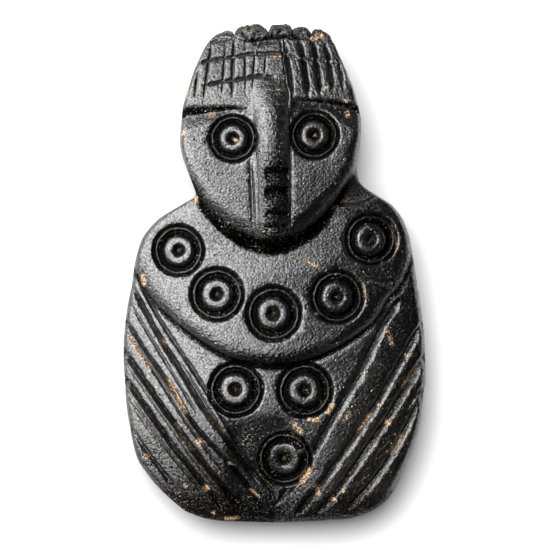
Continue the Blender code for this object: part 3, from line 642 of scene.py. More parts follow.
def stitched_mesh(front, back, step):
    """One closed mesh of a fine front and a back that has one cell for so many steps of the front's."""
    rows, columns = front.shape[:2]
    number = np.arange(rows * columns).reshape(rows, columns)
    quads = np.stack([number[:-1, :-1], number[:-1, 1:], number[1:, 1:], number[1:, :-1]], -1).reshape(-1, 4)

    # The back shares the border's corners, so its outer cells have several corners on that side.
    inner_rows, inner_columns = back.shape[0] - 2, back.shape[1] - 2
    inner = np.arange(inner_rows * inner_columns).reshape(inner_rows, inner_columns) + rows * columns

    def corner(row, column):
        if 0 < row <= inner_rows and 0 < column <= inner_columns:
            return int(inner[row - 1, column - 1])
        return int(number[row * step, column * step])

    def run(row_a, column_a, row_b, column_b):
        """Corners from one back corner up to, but without, the next."""
        on_border = (row_a == row_b and row_a in (0, inner_rows + 1)) or (
            column_a == column_b and column_a in (0, inner_columns + 1))
        if not on_border:
            return [corner(row_a, column_a)]
        places = np.linspace((row_a * step, column_a * step), (row_b * step, column_b * step), step + 1)
        return [int(number[int(round(r)), int(round(c))]) for r, c in places[:-1]]

    back_faces = []
    for row in range(inner_rows + 1):
        for column in range(inner_columns + 1):
            face = run(row, column, row + 1, column) + run(row + 1, column, row + 1, column + 1)
            face += run(row + 1, column + 1, row, column + 1) + run(row, column + 1, row, column)
            back_faces.append(face)

    corners = np.vstack([front.reshape(-1, 3), back[1:-1, 1:-1].reshape(-1, 3)]) * MM
    sizes = np.concatenate([np.full(len(quads), 4), [len(face) for face in back_faces]])
    loops = np.concatenate([quads.ravel()] + [np.array(face) for face in back_faces])
    mesh = bpy.data.meshes.new(NODE)
    mesh.vertices.add(len(corners))
    mesh.vertices.foreach_set("co", corners.ravel().astype(np.float32))
    mesh.loops.add(len(loops))
    mesh.loops.foreach_set("vertex_index", loops.astype(np.int32))
    mesh.polygons.add(len(sizes))
    mesh.polygons.foreach_set("loop_start", np.concatenate([[0], np.cumsum(sizes)[:-1]]).astype(np.int32))
    mesh.update(calc_edges=True)
    mesh.validate()
    return mesh


# ---- Node trees ---------------------------------------------------------------------------------------

NOISE = "ShaderNodeTexNoise"
MATH = "ShaderNodeMath"
RANGE = "ShaderNodeMapRange"     # its inputs in order: value, from low, from high, to low, to high
MIX = "ShaderNodeMix"
MIX_A, MIX_B, MIX_RESULT = 6, 7, 2   # where a Mix node's colours are among its sockets
VECTOR = "ShaderNodeVectorMath"
STORED = "GeometryNodeInputNamedAttribute"
STORE = "GeometryNodeStoreNamedAttribute"
SAMPLE = "GeometryNodeSampleIndex"


def add_node(tree, kind, inputs=(), **settings):
    """Adds a node, sets its properties, and fills its inputs, in order or by name, with values or with links.

    A node given as an input stands for its first output.
    """
    node = tree.nodes.new(kind)
    for name, value in settings.items():
        setattr(node, name, value)
    for key, value in inputs.items() if isinstance(inputs, dict) else enumerate(inputs):
        if isinstance(value, bpy.types.Node):
            value = value.outputs[0]
        if isinstance(value, bpy.types.NodeSocket):
            tree.links.new(value, node.inputs[key])
        else:
            node.inputs[key].default_value = value
    return node


def geometry_tree(name, sizes, guide=None):
    """A new Geometry Nodes tree and its inputs: a geometry, a material, sizes and perhaps a guide object."""
    tree = bpy.data.node_groups.new(name, "GeometryNodeTree")
    tree.interface.new_socket("Geometry", in_out="OUTPUT", socket_type="NodeSocketGeometry")
    kinds = {"Geometry": "Geometry", "Material": "Material", **dict.fromkeys(sizes, "Float")}
    if guide:
        kinds[guide] = "Object"
    for label, kind in kinds.items():
        tree.interface.new_socket(label, in_out="INPUT", socket_type="NodeSocket" + kind)
    return tree, tree.nodes.new("NodeGroupInput").outputs


def close_tree(tree, geometry, material):
    """Ends a tree with Realize Instances and Set Material."""
    real = add_node(tree, "GeometryNodeRealizeInstances", {"Geometry": geometry})
    painted = add_node(tree, "GeometryNodeSetMaterial", {"Geometry": real, "Material": material})
    add_node(tree, "NodeGroupOutput", [painted])
    return tree


def keep_modified(piece):
    """Keeps what a piece's modifiers make of it as its plain mesh, and drops them."""
    view = bpy.context.evaluated_depsgraph_get()
    mesh = bpy.data.meshes.new_from_object(piece.evaluated_get(view))
    if not mesh.polygons:
        raise RuntimeError("nothing is left of " + piece.name)
    piece.modifiers.clear()
    piece.data = mesh


def thin(piece, most):
    """Brings a mesh under a number of triangles, keeping them where it curves."""
    solid = bmesh.new()
    solid.from_mesh(piece.data)
    bmesh.ops.triangulate(solid, faces=solid.faces)
    bmesh.ops.recalc_face_normals(solid, faces=solid.faces)
    solid.to_mesh(piece.data)
    solid.free()
    piece.modifiers.new("thin", "DECIMATE").ratio = min(1.0, most / len(piece.data.polygons))
    keep_modified(piece)


def run_tree(piece, tree, values):
    """Runs a tree on a piece and keeps the result as its plain mesh."""
    modifier = piece.modifiers.new(tree.name, "NODES")
    modifier.node_group = tree
    sockets = {item.name: item.identifier for item in tree.interface.items_tree if item.in_out == "INPUT"}
    for label, value in values.items():
        modifier[sockets[label]] = value
    keep_modified(piece)


def flat_place(tree):
    """The place of each corner, and the same with its height dropped."""
    place = add_node(tree, "GeometryNodeInputPosition")
    apart = add_node(tree, "ShaderNodeSeparateXYZ", [place])
    return place, add_node(tree, "ShaderNodeCombineXYZ", [apart.outputs[0], apart.outputs[1]])


def set_curve(node, points):
    """Sets a Float Curve node to straight runs through the points."""
    curve = node.mapping.curves[0]
    curve.points[0].location = points[0]
    curve.points[1].location = points[-1]
    for place in points[1:-1]:
        curve.points.new(*place)
    for point in curve.points:
        point.handle_type = "VECTOR"
    node.mapping.use_clip = False
    node.mapping.update()


# Section of a drilled mark: (distance from its centre in outer radii, depth as a share of the deepest).
MARK_SECTION = [
    (0.0, 0.95), (0.10, 0.88), (0.21, 0.40), (0.245, 0.08), (0.29, 0.01), (0.36, 0.0), (0.44, 0.015),
    (0.50, 0.12), (0.64, 0.92), (0.745, 1.0), (0.785, 0.42), (0.81, 0.20), (0.83, 0.20), (0.855, 0.40),
    (0.91, 0.80), (0.95, 0.66), (0.985, 0.16), (1.03, 0.0),
]
MARK_REACH = 1.1         # the section's full width, in outer radii
MARK_LUMP = 10.0 / 9.0   # length of an unevenness round a mark's edge
DRILLED_EDGE = (0.96, 1.06)  # a scored line fades between these distances, in outer radii


def mark_tree():
    """Drills a stepped ring, with a boss and a dot in it, at each point of the marks object."""
    tree, given = geometry_tree("drilled_marks", ["Depth", "Wobble"], guide="Marks")
    marks = add_node(tree, "GeometryNodeObjectInfo", {"Object": given["Marks"]}).outputs["Geometry"]
    place, flat = flat_place(tree)

    # How far each corner is from the nearest mark's centre, in that mark's radii, with a little unevenness.
    radius = add_node(tree, STORED, ["radius"], data_type="FLOAT")
    nearest = add_node(tree, "GeometryNodeSampleNearest", [marks, flat], domain="POINT")
    centre = add_node(tree, SAMPLE, [marks, place, nearest], data_type="FLOAT_VECTOR", domain="POINT")
    size = add_node(tree, SAMPLE, [marks, radius, nearest], data_type="FLOAT", domain="POINT")
    out = add_node(tree, VECTOR, [flat, centre], operation="DISTANCE").outputs["Value"]
    ratio = add_node(tree, MATH, [out, size], operation="DIVIDE")
    noise = add_node(tree, NOISE, {"Vector": place, "Scale": 1.0 / (MARK_LUMP * MM), "Detail": 4.0,
                                   "Roughness": 0.7})
    centred = add_node(tree, MATH, [noise, 0.5], operation="SUBTRACT")
    wobble = add_node(tree, MATH, [centred, given["Wobble"]], operation="MULTIPLY")
    uneven = add_node(tree, MATH, [ratio, wobble], operation="ADD")

    # How deep the section is there.
    share = add_node(tree, MATH, [uneven, MARK_REACH], operation="DIVIDE", use_clamp=True)
    section = add_node(tree, "ShaderNodeFloatCurve", {"Value": share})
    set_curve(section, [(distance / MARK_REACH, depth) for distance, depth in MARK_SECTION] + [(1.0, 0.0)])
    lift = add_node(tree, STORED, ["lift"], data_type="FLOAT")
    eased = add_node(tree, MATH, [section, lift], operation="MULTIPLY")
    deep = add_node(tree, MATH, [eased, given["Depth"]], operation="MULTIPLY")
    down = add_node(tree, MATH, [deep, -1.0], operation="MULTIPLY")
    offset = add_node(tree, "ShaderNodeCombineXYZ", {2: down})

    drilled = add_node(tree, RANGE, [uneven, *DRILLED_EDGE, 1.0, 0.0])
    stored = add_node(tree, STORE, {"Geometry": given["Geometry"], "Name": "drilled", "Value": drilled},
                      data_type="FLOAT", domain="POINT")
    old = add_node(tree, STORED, ["cut"], data_type="FLOAT")
    most = add_node(tree, MATH, [old, eased], operation="MAXIMUM")
    kept = add_node(tree, STORE, {"Geometry": stored, "Name": "cut", "Value": most}, data_type="FLOAT",
                    domain="POINT")
    moved = add_node(tree, "GeometryNodeSetPosition", {"Geometry": kept, "Offset": offset})
    return close_tree(tree, moved, given["Material"])


# Section of a scored line: (distance from its middle, depth), both as shares.
GROOVE_SECTION = [(0.0, 1.0), (0.10, 0.94), (0.45, 0.44), (0.68, 0.17), (0.84, 0.05), (1.0, 0.0)]
GROOVE_LUMP = 2.0        # length of an unevenness along a line's edge


def groove_tree():
    """Scores a V along each route of the routes object, whose points carry a width and a depth."""
    tree, given = geometry_tree("scored_grooves", ["Width", "Depth", "Deepest", "Roughness"], guide="Routes")
    routes = add_node(tree, "GeometryNodeObjectInfo", {"Object": given["Routes"]}).outputs["Geometry"]
    place, flat = flat_place(tree)

    # How far each corner is from the nearest line, as a share of the line's uneven width there.
    near = add_node(tree, "GeometryNodeProximity", {"Geometry": routes, "Sample Position": flat},
                    target_element="EDGES").outputs["Distance"]
    nearest = add_node(tree, "GeometryNodeSampleNearest", [routes, flat], domain="POINT")
    wide, deep = (
        add_node(tree, SAMPLE, [routes, add_node(tree, STORED, [name], data_type="FLOAT"), nearest],
                 data_type="FLOAT", domain="POINT")
        for name in ("wide", "deep"))
    noise = add_node(tree, NOISE, {"Vector": place, "Scale": 1.0 / (GROOVE_LUMP * MM), "Detail": 4.0,
                                   "Roughness": 0.65})
    centred = add_node(tree, MATH, [noise, 0.5], operation="SUBTRACT")
    ragged = add_node(tree, MATH, [centred, given["Roughness"], 1.0], operation="MULTIPLY_ADD")
    width = add_node(tree, MATH, [wide, given["Width"]], operation="MULTIPLY")
    uneven_width = add_node(tree, MATH, [width, ragged], operation="MULTIPLY")
    share = add_node(tree, MATH, [near, uneven_width], operation="DIVIDE")

    # How deep the section is there, outside the drilled marks.
    section = add_node(tree, "ShaderNodeFloatCurve", {"Value": share})
    set_curve(section, GROOVE_SECTION)
    lift = add_node(tree, STORED, ["lift"], data_type="FLOAT")
    drilled = add_node(tree, STORED, ["drilled"], data_type="FLOAT")
    undrilled = add_node(tree, MATH, [1.0, drilled], operation="SUBTRACT")
    eased = add_node(tree, MATH, [undrilled, lift], operation="MULTIPLY")
    shown = add_node(tree, MATH, [section, eased], operation="MULTIPLY")
    inside = add_node(tree, "FunctionNodeCompare", [shown, 0.0], data_type="FLOAT", operation="GREATER_THAN")
    amount = add_node(tree, MATH, [shown, deep], operation="MULTIPLY")
    depth = add_node(tree, MATH, [amount, given["Depth"]], operation="MULTIPLY")
    down = add_node(tree, MATH, [depth, -1.0], operation="MULTIPLY")
    normal = add_node(tree, "GeometryNodeInputNormal")
    offset = add_node(tree, VECTOR, {0: normal, "Scale": down}, operation="SCALE")

    old = add_node(tree, STORED, ["cut"], data_type="FLOAT")
    share_deep = add_node(tree, MATH, [depth, given["Deepest"]], operation="DIVIDE")
    most = add_node(tree, MATH, [old, share_deep], operation="MAXIMUM")
    stored = add_node(tree, STORE, [given["Geometry"], inside, "cut", most], data_type="FLOAT",
                      domain="POINT")
    moved = add_node(tree, "GeometryNodeSetPosition", {
        "Geometry": stored, "Selection": inside, "Offset": offset})
    return close_tree(tree, moved, given["Material"])


def wear_tree():
    """Roughens the surface: soft hand-worked waves all over, grain where it is pitted, and broken crown."""
    tree, given = geometry_tree("worn_surface", [kind + size for kind in ("Wave", "Grain", "Break")
                                                 for size in (" Height", " Scale")])
    place = add_node(tree, "GeometryNodeInputPosition")
    rough = add_node(tree, STORED, ["rough"], data_type="FLOAT")
    pitted = add_node(tree, MATH, [rough, 1.0], operation="MINIMUM")
    broken = add_node(tree, MATH, [rough, pitted], operation="SUBTRACT")
    total = None
    for label, detail, share in (("Wave", 4.0, None), ("Grain", 3.0, pitted), ("Break", 1.0, broken)):
        noise = add_node(tree, NOISE, {"Vector": place, "Scale": given[label + " Scale"], "Detail": detail})
        centred = add_node(tree, MATH, [noise, 0.5], operation="SUBTRACT")
        height = add_node(tree, MATH, [centred, given[label + " Height"]], operation="MULTIPLY")
        if share is not None:
            height = add_node(tree, MATH, [height, share], operation="MULTIPLY")
        if total is not None:
            height = add_node(tree, MATH, [total, height], operation="ADD")
        total = height
    normal = add_node(tree, "GeometryNodeInputNormal")
    offset = add_node(tree, VECTOR, {0: normal, "Scale": total}, operation="SCALE")
    moved = add_node(tree, "GeometryNodeSetPosition", {"Geometry": given["Geometry"], "Offset": offset})
    return close_tree(tree, moved, given["Material"])


# ---- The scored lines ---------------------------------------------------------------------------------

# Each route: width at its surface, depth, and its points from one end to the other.
FLANK_GROOVES = [
    (0.8, 0.5, [(-20.6, -0.8), (-16.8, -7.7), (-12.0, -14.9), (-8.2, -21.1), (-3.7, -28.5), (0.4, -33.7)]),
    (1.1, 0.85, [(-21.9, -1.2), (-17.5, -9.2), (-14.2, -14.5), (-10.5, -20.5), (-5.8, -26.8), (-2.5, -31.5)]),
    (0.6, 0.3, [(-21.9, -4.2), (-17.9, -10.9), (-14.6, -16.2), (-11.4, -21.4)]),
    (0.95, 0.8, [(-24.4, -4.3), (-18.7, -12.7), (-15.3, -17.5), (-11.7, -23.2), (-6.2, -29.2),
                 (-1.4, -35.6)]),
    (0.6, 0.4, [(-22.9, -8.0), (-17.2, -16.3), (-13.5, -22.1), (-10.9, -25.6), (-7.4, -30.2)]),
    (1.3, 0.95, [(-24.8, -8.7), (-18.7, -17.5), (-15.0, -22.7), (-10.5, -28.8), (-4.6, -35.6)]),
    (1.3, 0.95, [(-24.8, -12.7), (-18.7, -21.2), (-15.0, -26.5), (-7.4, -35.8)]),
    (0.5, 0.35, [(-21.4, -19.6), (-18.0, -24.4), (-13.2, -30.2), (-10.6, -33.4)]),
    (1.1, 0.5, [(-23.4, -21.0), (-19.5, -26.5), (-17.2, -29.5), (-14.9, -32.3)]),
    (1.9, 0.85, [(18.7, -4.2), (16.3, -7.7), (13.0, -14.5), (9.4, -20.5), (5.1, -28.0), (0.4, -34.6)]),
    (1.8, 0.85, [(22.8, -6.6), (18.1, -14.8), (14.3, -21.2), (9.8, -27.7), (5.2, -34.0), (3.0, -36.6)]),
    (1.7, 0.8, [(24.4, -9.8), (17.8, -20.5), (13.6, -26.8), (9.9, -32.1), (6.1, -36.6)]),
    (1.6, 0.7, [(24.6, -13.6), (18.9, -25.0), (15.1, -31.0), (10.6, -35.9)]),
    (0.8, 0.35, [(23.2, -15.9), (19.8, -20.6)]),
]
# The thin lines that slipped between the grooves of the left flank.
FINE_LINES = [
    (0.4, 0.22, [(-23.6, -6.2), (-18.4, -14.2), (-14.6, -19.6)]),
    (0.4, 0.25, [(-24.2, -10.9), (-19.6, -17.6), (-15.2, -23.8), (-11.6, -28.8), (-8.0, -33.2)]),
    (0.4, 0.22, [(-24.0, -15.2), (-20.2, -20.4), (-16.6, -25.4), (-11.0, -32.6)]),
    (0.45, 0.28, [(-14.4, -13.0), (-10.6, -18.9), (-7.6, -24.2)]),
    (0.4, 0.2, [(-23.0, -17.6), (-19.4, -22.9), (-15.8, -27.9)]),
]
# The hair: deep locks down the right side, finer ones down the left, and the lines that cross them.
HAIR_GROOVES = [
    (1.2, 0.8, [(1.5, 35.0), (2.1, 31.0), (2.8, 26.7)]),
    (1.3, 0.95, [(3.7, 35.4), (4.5, 31.0), (5.1, 26.7)]),
    (1.3, 0.95, [(5.8, 35.2), (6.4, 31.0), (6.9, 27.0)]),
    (1.2, 0.8, [(7.7, 34.4), (8.3, 31.0), (8.8, 27.6)]),
    (1.0, 0.6, [(9.6, 32.8), (10.4, 27.4)]),
    (0.6, 0.3, [(11.0, 30.0), (11.6, 26.6)]),
    (0.7, 0.25, [(-11.2, 31.6), (-12.0, 26.2)]),
    (0.7, 0.3, [(-9.4, 34.6), (-10.0, 30.5), (-10.6, 26.2)]),
    (0.6, 0.25, [(-7.2, 35.0), (-7.9, 26.4)]),
    (0.7, 0.35, [(-5.9, 35.4), (-6.2, 31.0), (-6.3, 26.4)]),
    (0.6, 0.25, [(-4.3, 35.0), (-4.3, 26.6)]),
    (0.6, 0.25, [(-2.8, 33.2), (-3.3, 27.6)]),
    (0.5, 0.2, [(-1.2, 32.8), (-1.5, 29.6)]),
    (0.7, 0.6, [(-11.4, 31.8), (-9.0, 32.2), (-5.6, 32.7), (-3.4, 33.1), (1.1, 33.1), (3.4, 32.6)]),
    (0.5, 0.25, [(4.2, 32.4), (9.8, 31.6)]),
    (0.7, 0.65, [(-10.8, 28.3), (-7.5, 28.9), (-5.2, 29.2), (-2.9, 29.7), (-1.4, 29.7), (0.1, 29.4)]),
    (0.5, 0.35, [(-11.6, 34.2), (-8.5, 35.1), (-6.4, 35.3)]),
    (0.8, 0.7, [(-4.8, 35.0), (-1.0, 35.4), (1.4, 35.8), (3.2, 35.6), (5.4, 35.4)]),
    (0.5, 0.4, [(-3.2, 34.4), (0.6, 34.9)]),
]
# The lines along the nose.
FACE_GROOVES = [
    (0.6, 0.6, [(0.9, 35.0), (1.4, 32.2), (2.0, 27.7), (2.3, 24.4)]),
    (0.5, 0.25, [(2.3, 24.4), (2.4, 21.7), (2.45, 17.2), (2.5, 11.1), (2.5, 6.0)]),
    (0.35, 0.3, [(-3.7, 17.2), (-3.5, 12.0), (-3.3, 6.8)]),
    (0.3, 0.25, [(-3.3, 16.6), (-3.1, 12.0), (-2.9, 6.4)]),
    (0.35, 0.35, [(-2.8, 18.2), (-2.65, 12.0), (-2.45, 5.6)]),
]
ROUTE_STEPS = 24         # points of a smooth route between two of its own
ROUTE_TAPER = 10.0       # points over which each end tapers
ROUTE_TIP = 0.15         # what is left of the depth at its tip


def route_points(routes):
    """One mesh of the routes' lines, every point with the width and depth of the cut there."""
    corners, edges, wide, deep = [], [], [], []
    for width, depth, points in routes:
        line = catmull(points, ROUTE_STEPS)
        first = len(corners)
        corners += [(x * MM, y * MM, 0.0) for x, y in line]
        edges += [(index, index + 1) for index in range(first, first + len(line) - 1)]
        to_end = np.minimum(np.arange(len(line)), np.arange(len(line))[::-1])
        taper = np.clip(to_end / ROUTE_TAPER, ROUTE_TIP, 1.0)
        wide += list(width * MM * 0.5 * (0.5 + 0.5 * taper))
        deep += list(depth * MM * taper)
    return corners, edges, {"wide": wide, "deep": deep}


def helper_object(name, corners, edges, attributes):
    """An object of points or lines that a node tree reads, and that is removed afterwards."""
    mesh = bpy.data.meshes.new(name)
    mesh.from_pydata(corners, edges, [])
    for label, values in attributes.items():
        mesh.attributes.new(label, "FLOAT", "POINT").data.foreach_set("value", values)
    helper = bpy.data.objects.new(name, mesh)
    bpy.context.collection.objects.link(helper)
    return helper


# ---- The stone's finish -------------------------------------------------------------------------------

# The levels of a noise between which a mask turns from nothing to full.
CLOUD_LEVELS = (0.3, 0.7)
FILM_LEVELS = (0.66, 1.0)
EARTH_LEVELS = (0.92, 1.02)
HUE_LEVELS = (0.42, 0.58)
DULL_LEVELS = (0.4, 0.6)
SCRATCH_LEVELS = (0.66, 0.74)
TINT_LEVELS = (0.4, 0.6)
HUE_FREQUENCY = 0.7      # patches of one colour of earth for each crumb
TINT_FREQUENCY = 0.6     # patches of one brightness for each speck
SPECK_EDGE = 0.03        # how softly a speck ends, in levels
POLISH_EDGE = 0.3        # how softly the polish ends, as a share of a cut's depth
PIT_SHARE = 0.1          # share of the places for a pit that have one, and how many more where it is rough
PIT_SHARE_ROUGH = 0.5
PIT_WIDTHS = (0.2, 0.55)     # a pit's narrowest and widest reach, and its bottom's, in spacings
PIT_BOTTOM = 0.05
BODY_ROUGHNESS = 0.7     # the stone's own face, which has no mirror but the polish on it
BODY_IOR = 1.5


def hex_colour(code):
    """An sRGB hex colour as linear red, green and blue, with full alpha."""
    parts = [int(code[index:index + 2], 16) / 255.0 for index in (1, 3, 5)]
    return [part / 12.92 if part <= 0.04045 else ((part + 0.055) / 1.055) ** 2.4 for part in parts] + [1.0]


def stone_material(look):
    """Polished black steatite, ground on sandstone and handled for centuries: a close dark stone with a
    broad satin sheen, a fine grain that glints, and tan burial earth left in the cuts. Its pale specks are
    partly painted glints, and its polish is taken off as painted shade where shade falls on the stone.

    The real grain and its dull grains are some 0.05 mm across, too fine to show, so they are drawn as coarse
    as they need to. The polish's index of refraction is above a stone's usual 1.6, for a sheen as bright as
    a waxed stone's.
    """
    material = bpy.data.materials.new("polished black steatite")
    material.use_nodes = True
    tree = material.node_tree
    tree.nodes.clear()
    place = add_node(tree, "ShaderNodeTexCoord").outputs["Object"]
    # The cut mask holds the cuts' depth and the painted shade, where the polish is taken off.
    cut, earth, rough = (add_node(tree, "ShaderNodeAttribute", attribute_name=name).outputs["Fac"]
                         for name in ("cut", "earth", "rough"))
    fine = add_node(tree, NOISE, {"Vector": place, "Scale": 1.0 / look.pitting_size, "Detail": 2.0,
                                  "Roughness": 0.7})
    stone, earthed = earthed_stone(tree, look, place, earth)
    # Polish is taken off in the cuts, in pitted places and as painted shade; there the stone is also rougher
    # and has more pale specks, which are partly painted glints.
    unpolished_and_shaded, polish = rubbed_polish(tree, look, place, cut, rough, fine, earthed)
    worn = add_node(tree, MATH, [rough, unpolished_and_shaded], operation="MAXIMUM")
    relief = worn_relief(tree, look, place, rough, worn, fine)
    speckled = pale_specks_and_glints(tree, look, place, worn, stone)
    surface = add_node(tree, "ShaderNodeBsdfPrincipled", {
        "Base Color": speckled, "Roughness": BODY_ROUGHNESS, "Specular IOR Level": 0.0, "IOR": BODY_IOR,
        "Normal": relief, "Coat Weight": polish, "Coat Roughness": look.roughness, "Coat IOR": look.ior,
        "Coat Normal": relief})
    add_node(tree, "ShaderNodeOutputMaterial", {"Surface": surface})
    return material


def earthed_stone(tree, look, place, earth):
    """The clouded black of the stone under a film and crumbs of earth, and where the crumbs are."""
    cloud = add_node(tree, NOISE, {"Vector": place, "Scale": 1.0 / look.cloud_size, "Detail": 4.0})
    tone = add_node(tree, RANGE, [cloud, *CLOUD_LEVELS])
    bare = add_node(tree, MIX, {0: tone, MIX_A: look.dark_stone, MIX_B: look.pale_stone}, data_type="RGBA")

    crumbs = add_node(tree, NOISE, {"Vector": place, "Scale": 1.0 / look.crumb_size, "Detail": 4.0,
                                    "Roughness": 0.65})
    laid = add_node(tree, MATH, [earth, look.earth_cover, crumbs], operation="MULTIPLY_ADD")
    film = add_node(tree, RANGE, [laid, *FILM_LEVELS])
    filmed = add_node(tree, MIX, {0: film, MIX_A: bare.outputs[MIX_RESULT], MIX_B: look.film_earth},
                      data_type="RGBA")
    crumbled = add_node(tree, RANGE, [laid, *EARTH_LEVELS])
    hue = add_node(tree, NOISE, {"Vector": place, "Scale": 1.0 / look.crumb_size * HUE_FREQUENCY})
    hues = add_node(tree, RANGE, [hue, *HUE_LEVELS])
    crumb = add_node(tree, MIX, {0: hues, MIX_A: look.rust_earth, MIX_B: look.cream_earth}, data_type="RGBA")
    earthed = add_node(tree, MIX, {
        0: crumbled, MIX_A: filmed.outputs[MIX_RESULT], MIX_B: crumb.outputs[MIX_RESULT]}, data_type="RGBA")
    return earthed.outputs[MIX_RESULT], crumbled


def rubbed_polish(tree, look, place, cut, rough, fine, earthed):
    """Where the polish is missing, in the cuts, in pitted places and as painted shade, and how polished the
    stone is elsewhere.
    """
    low = add_node(tree, MATH, [rough, look.rough_wear, cut], operation="MULTIPLY_ADD")
    half = 0.5 * look.grain_wear
    peaks = add_node(tree, RANGE, [fine, 0.0, 1.0, half, -half], clamp=False)
    depth = add_node(tree, MATH, [low, peaks], operation="ADD")
    unpolished_and_shaded = add_node(tree, RANGE, [depth, look.polish_reach, look.polish_reach + POLISH_EDGE],
                      interpolation_type="SMOOTHSTEP")
    covered = add_node(tree, MATH, [unpolished_and_shaded, earthed], operation="MAXIMUM")
    even = add_node(tree, RANGE, [covered, 0.0, 1.0, 1.0, look.cut_polish])
    dust = add_node(tree, NOISE, {"Vector": place, "Scale": 1.0 / look.dull_size, "Detail": 1.0})
    dull = add_node(tree, RANGE, [dust, *DULL_LEVELS, 1.0, 1.0 - look.dull_share])
    return unpolished_and_shaded, add_node(tree, MATH, [even, dull], operation="MULTIPLY")


def worn_relief(tree, look, place, rough, worn, fine):
    """The normal of the stone's grain, with scratches on it and pits in it."""
    grain = add_node(tree, NOISE, {"Vector": place, "Scale": 1.0 / look.grain_size, "Detail": 2.0,
                                   "Roughness": 0.6})
    pitting = add_node(tree, MATH, [worn, look.rough_grain], operation="MULTIPLY")
    height = add_node(tree, MATH, [fine, pitting, grain], operation="MULTIPLY_ADD")
    relief = add_node(tree, "ShaderNodeBump", {
        "Strength": 1.0, "Distance": look.grain_height, "Height": height})
    for turn in look.scratch_turns:
        lie = add_node(tree, "ShaderNodeMapping", {
            "Vector": place, "Rotation": (0.0, 0.0, turn),
            "Scale": (look.scratch_width, look.scratch_length, look.scratch_width)}, vector_type="TEXTURE")
        strokes = add_node(tree, NOISE, {"Vector": lie, "Scale": 1.0, "Detail": 0.0})
        stroke = add_node(tree, RANGE, [strokes, *SCRATCH_LEVELS, 0.0, -1.0])
        relief = add_node(tree, "ShaderNodeBump", {
            "Strength": 1.0, "Distance": look.scratch_depth, "Height": stroke, "Normal": relief})

    places = add_node(tree, "ShaderNodeTexVoronoi", {"Vector": place, "Scale": 1.0 / look.pit_spacing})
    luck = add_node(tree, "ShaderNodeSeparateColor", [places.outputs["Color"]])
    share = add_node(tree, MATH, [rough, PIT_SHARE_ROUGH, PIT_SHARE], operation="MULTIPLY_ADD")
    chosen = add_node(tree, MATH, [luck.outputs[0], share], operation="LESS_THAN")
    reach = add_node(tree, RANGE, [luck.outputs[1], 0.0, 1.0, *PIT_WIDTHS])
    bowl = add_node(tree, RANGE, [places.outputs["Distance"], PIT_BOTTOM, reach, -1.0, 0.0],
                    interpolation_type="SMOOTHSTEP")
    pit = add_node(tree, MATH, [bowl, chosen], operation="MULTIPLY")
    return add_node(tree, "ShaderNodeBump", {
        "Strength": 1.0, "Distance": look.pit_depth, "Height": pit, "Normal": relief})


def pale_specks_and_glints(tree, look, place, worn, stone):
    """The stone's colour with pale specks in it, partly mineral and partly painted glints, thicker in fields
    and where it is worn or in painted shade.
    """
    specks = add_node(tree, NOISE, {"Vector": place, "Scale": 1.0 / look.speck_spacing, "Detail": 2.0,
                                    "Roughness": 0.8})
    field = add_node(tree, NOISE, {"Vector": place, "Scale": 1.0 / look.speck_field, "Detail": 3.0})
    gathered = add_node(tree, MATH, [field, look.speck_gather, specks], operation="MULTIPLY_ADD")
    dense = add_node(tree, MATH, [worn, look.speck_wear, gathered], operation="MULTIPLY_ADD")
    speck = add_node(tree, RANGE, [dense, look.speck_level, look.speck_level + SPECK_EDGE])
    tint = add_node(tree, NOISE, {"Vector": place, "Scale": TINT_FREQUENCY / look.speck_spacing})
    tints = add_node(tree, RANGE, [tint, *TINT_LEVELS])
    pale = add_node(tree, MIX, {0: tints, MIX_A: look.dim_speck, MIX_B: look.bright_speck_and_glint}, data_type="RGBA")
    return add_node(tree, MIX, {0: speck, MIX_A: stone, MIX_B: pale.outputs[MIX_RESULT]},
                    data_type="RGBA").outputs[MIX_RESULT]


# ---- What a user would change -------------------------------------------------------------------------

def colour_property(name, description, code):
    return bpy.props.FloatVectorProperty(name=name, description=description, subtype="COLOR", size=4,
                                         min=0.0, max=1.0, default=hex_colour(code))


def length_property(name, description, millimetres):
    return bpy.props.FloatProperty(name=name, description=description, unit="LENGTH", min=0.0,
                                   default=millimetres * MM)


def share_property(name, description, default, most=1.0):
    return bpy.props.FloatProperty(name=name, description=description, min=0.0, max=most, default=default)


class IdolCarving(bpy.types.PropertyGroup):
    mark_depth: length_property("Mark Depth", "Depth of the ring round each drilled dot", 1.05)
    mark_wobble: share_property("Mark Wobble", "How far a ring strays from a true circle, in its radii", 0.12)
    groove_width: share_property("Groove Width", "Scale of the scored lines' widths", 1.0, 3.0)
    groove_depth: share_property("Groove Depth", "Scale of the scored lines' depths", 1.0, 3.0)
    hidden_depth: length_property("Hidden Depth", "Depth of a scored line whose bottom no cloth reached", 2.1)
    groove_raggedness: share_property(
        "Groove Raggedness", "How uneven the edges of the scored lines are", 1.5, 3.0)
    wave_height: length_property("Wave Height", "Height of the soft waves left by grinding", 0.26)
    wave_size: length_property("Wave Size", "Width of the soft waves left by grinding", 6.0)
    grain_height: length_property("Grain Height", "Height of the roughness where it is pitted", 0.42)
    grain_size: length_property("Grain Size", "Width of the roughness where it is pitted", 0.42)
    break_height: length_property("Break Height", "Height of the broken lumps on the crown", 3.4)
    break_size: length_property("Break Size", "Width of the broken lumps on the crown", 1.3)


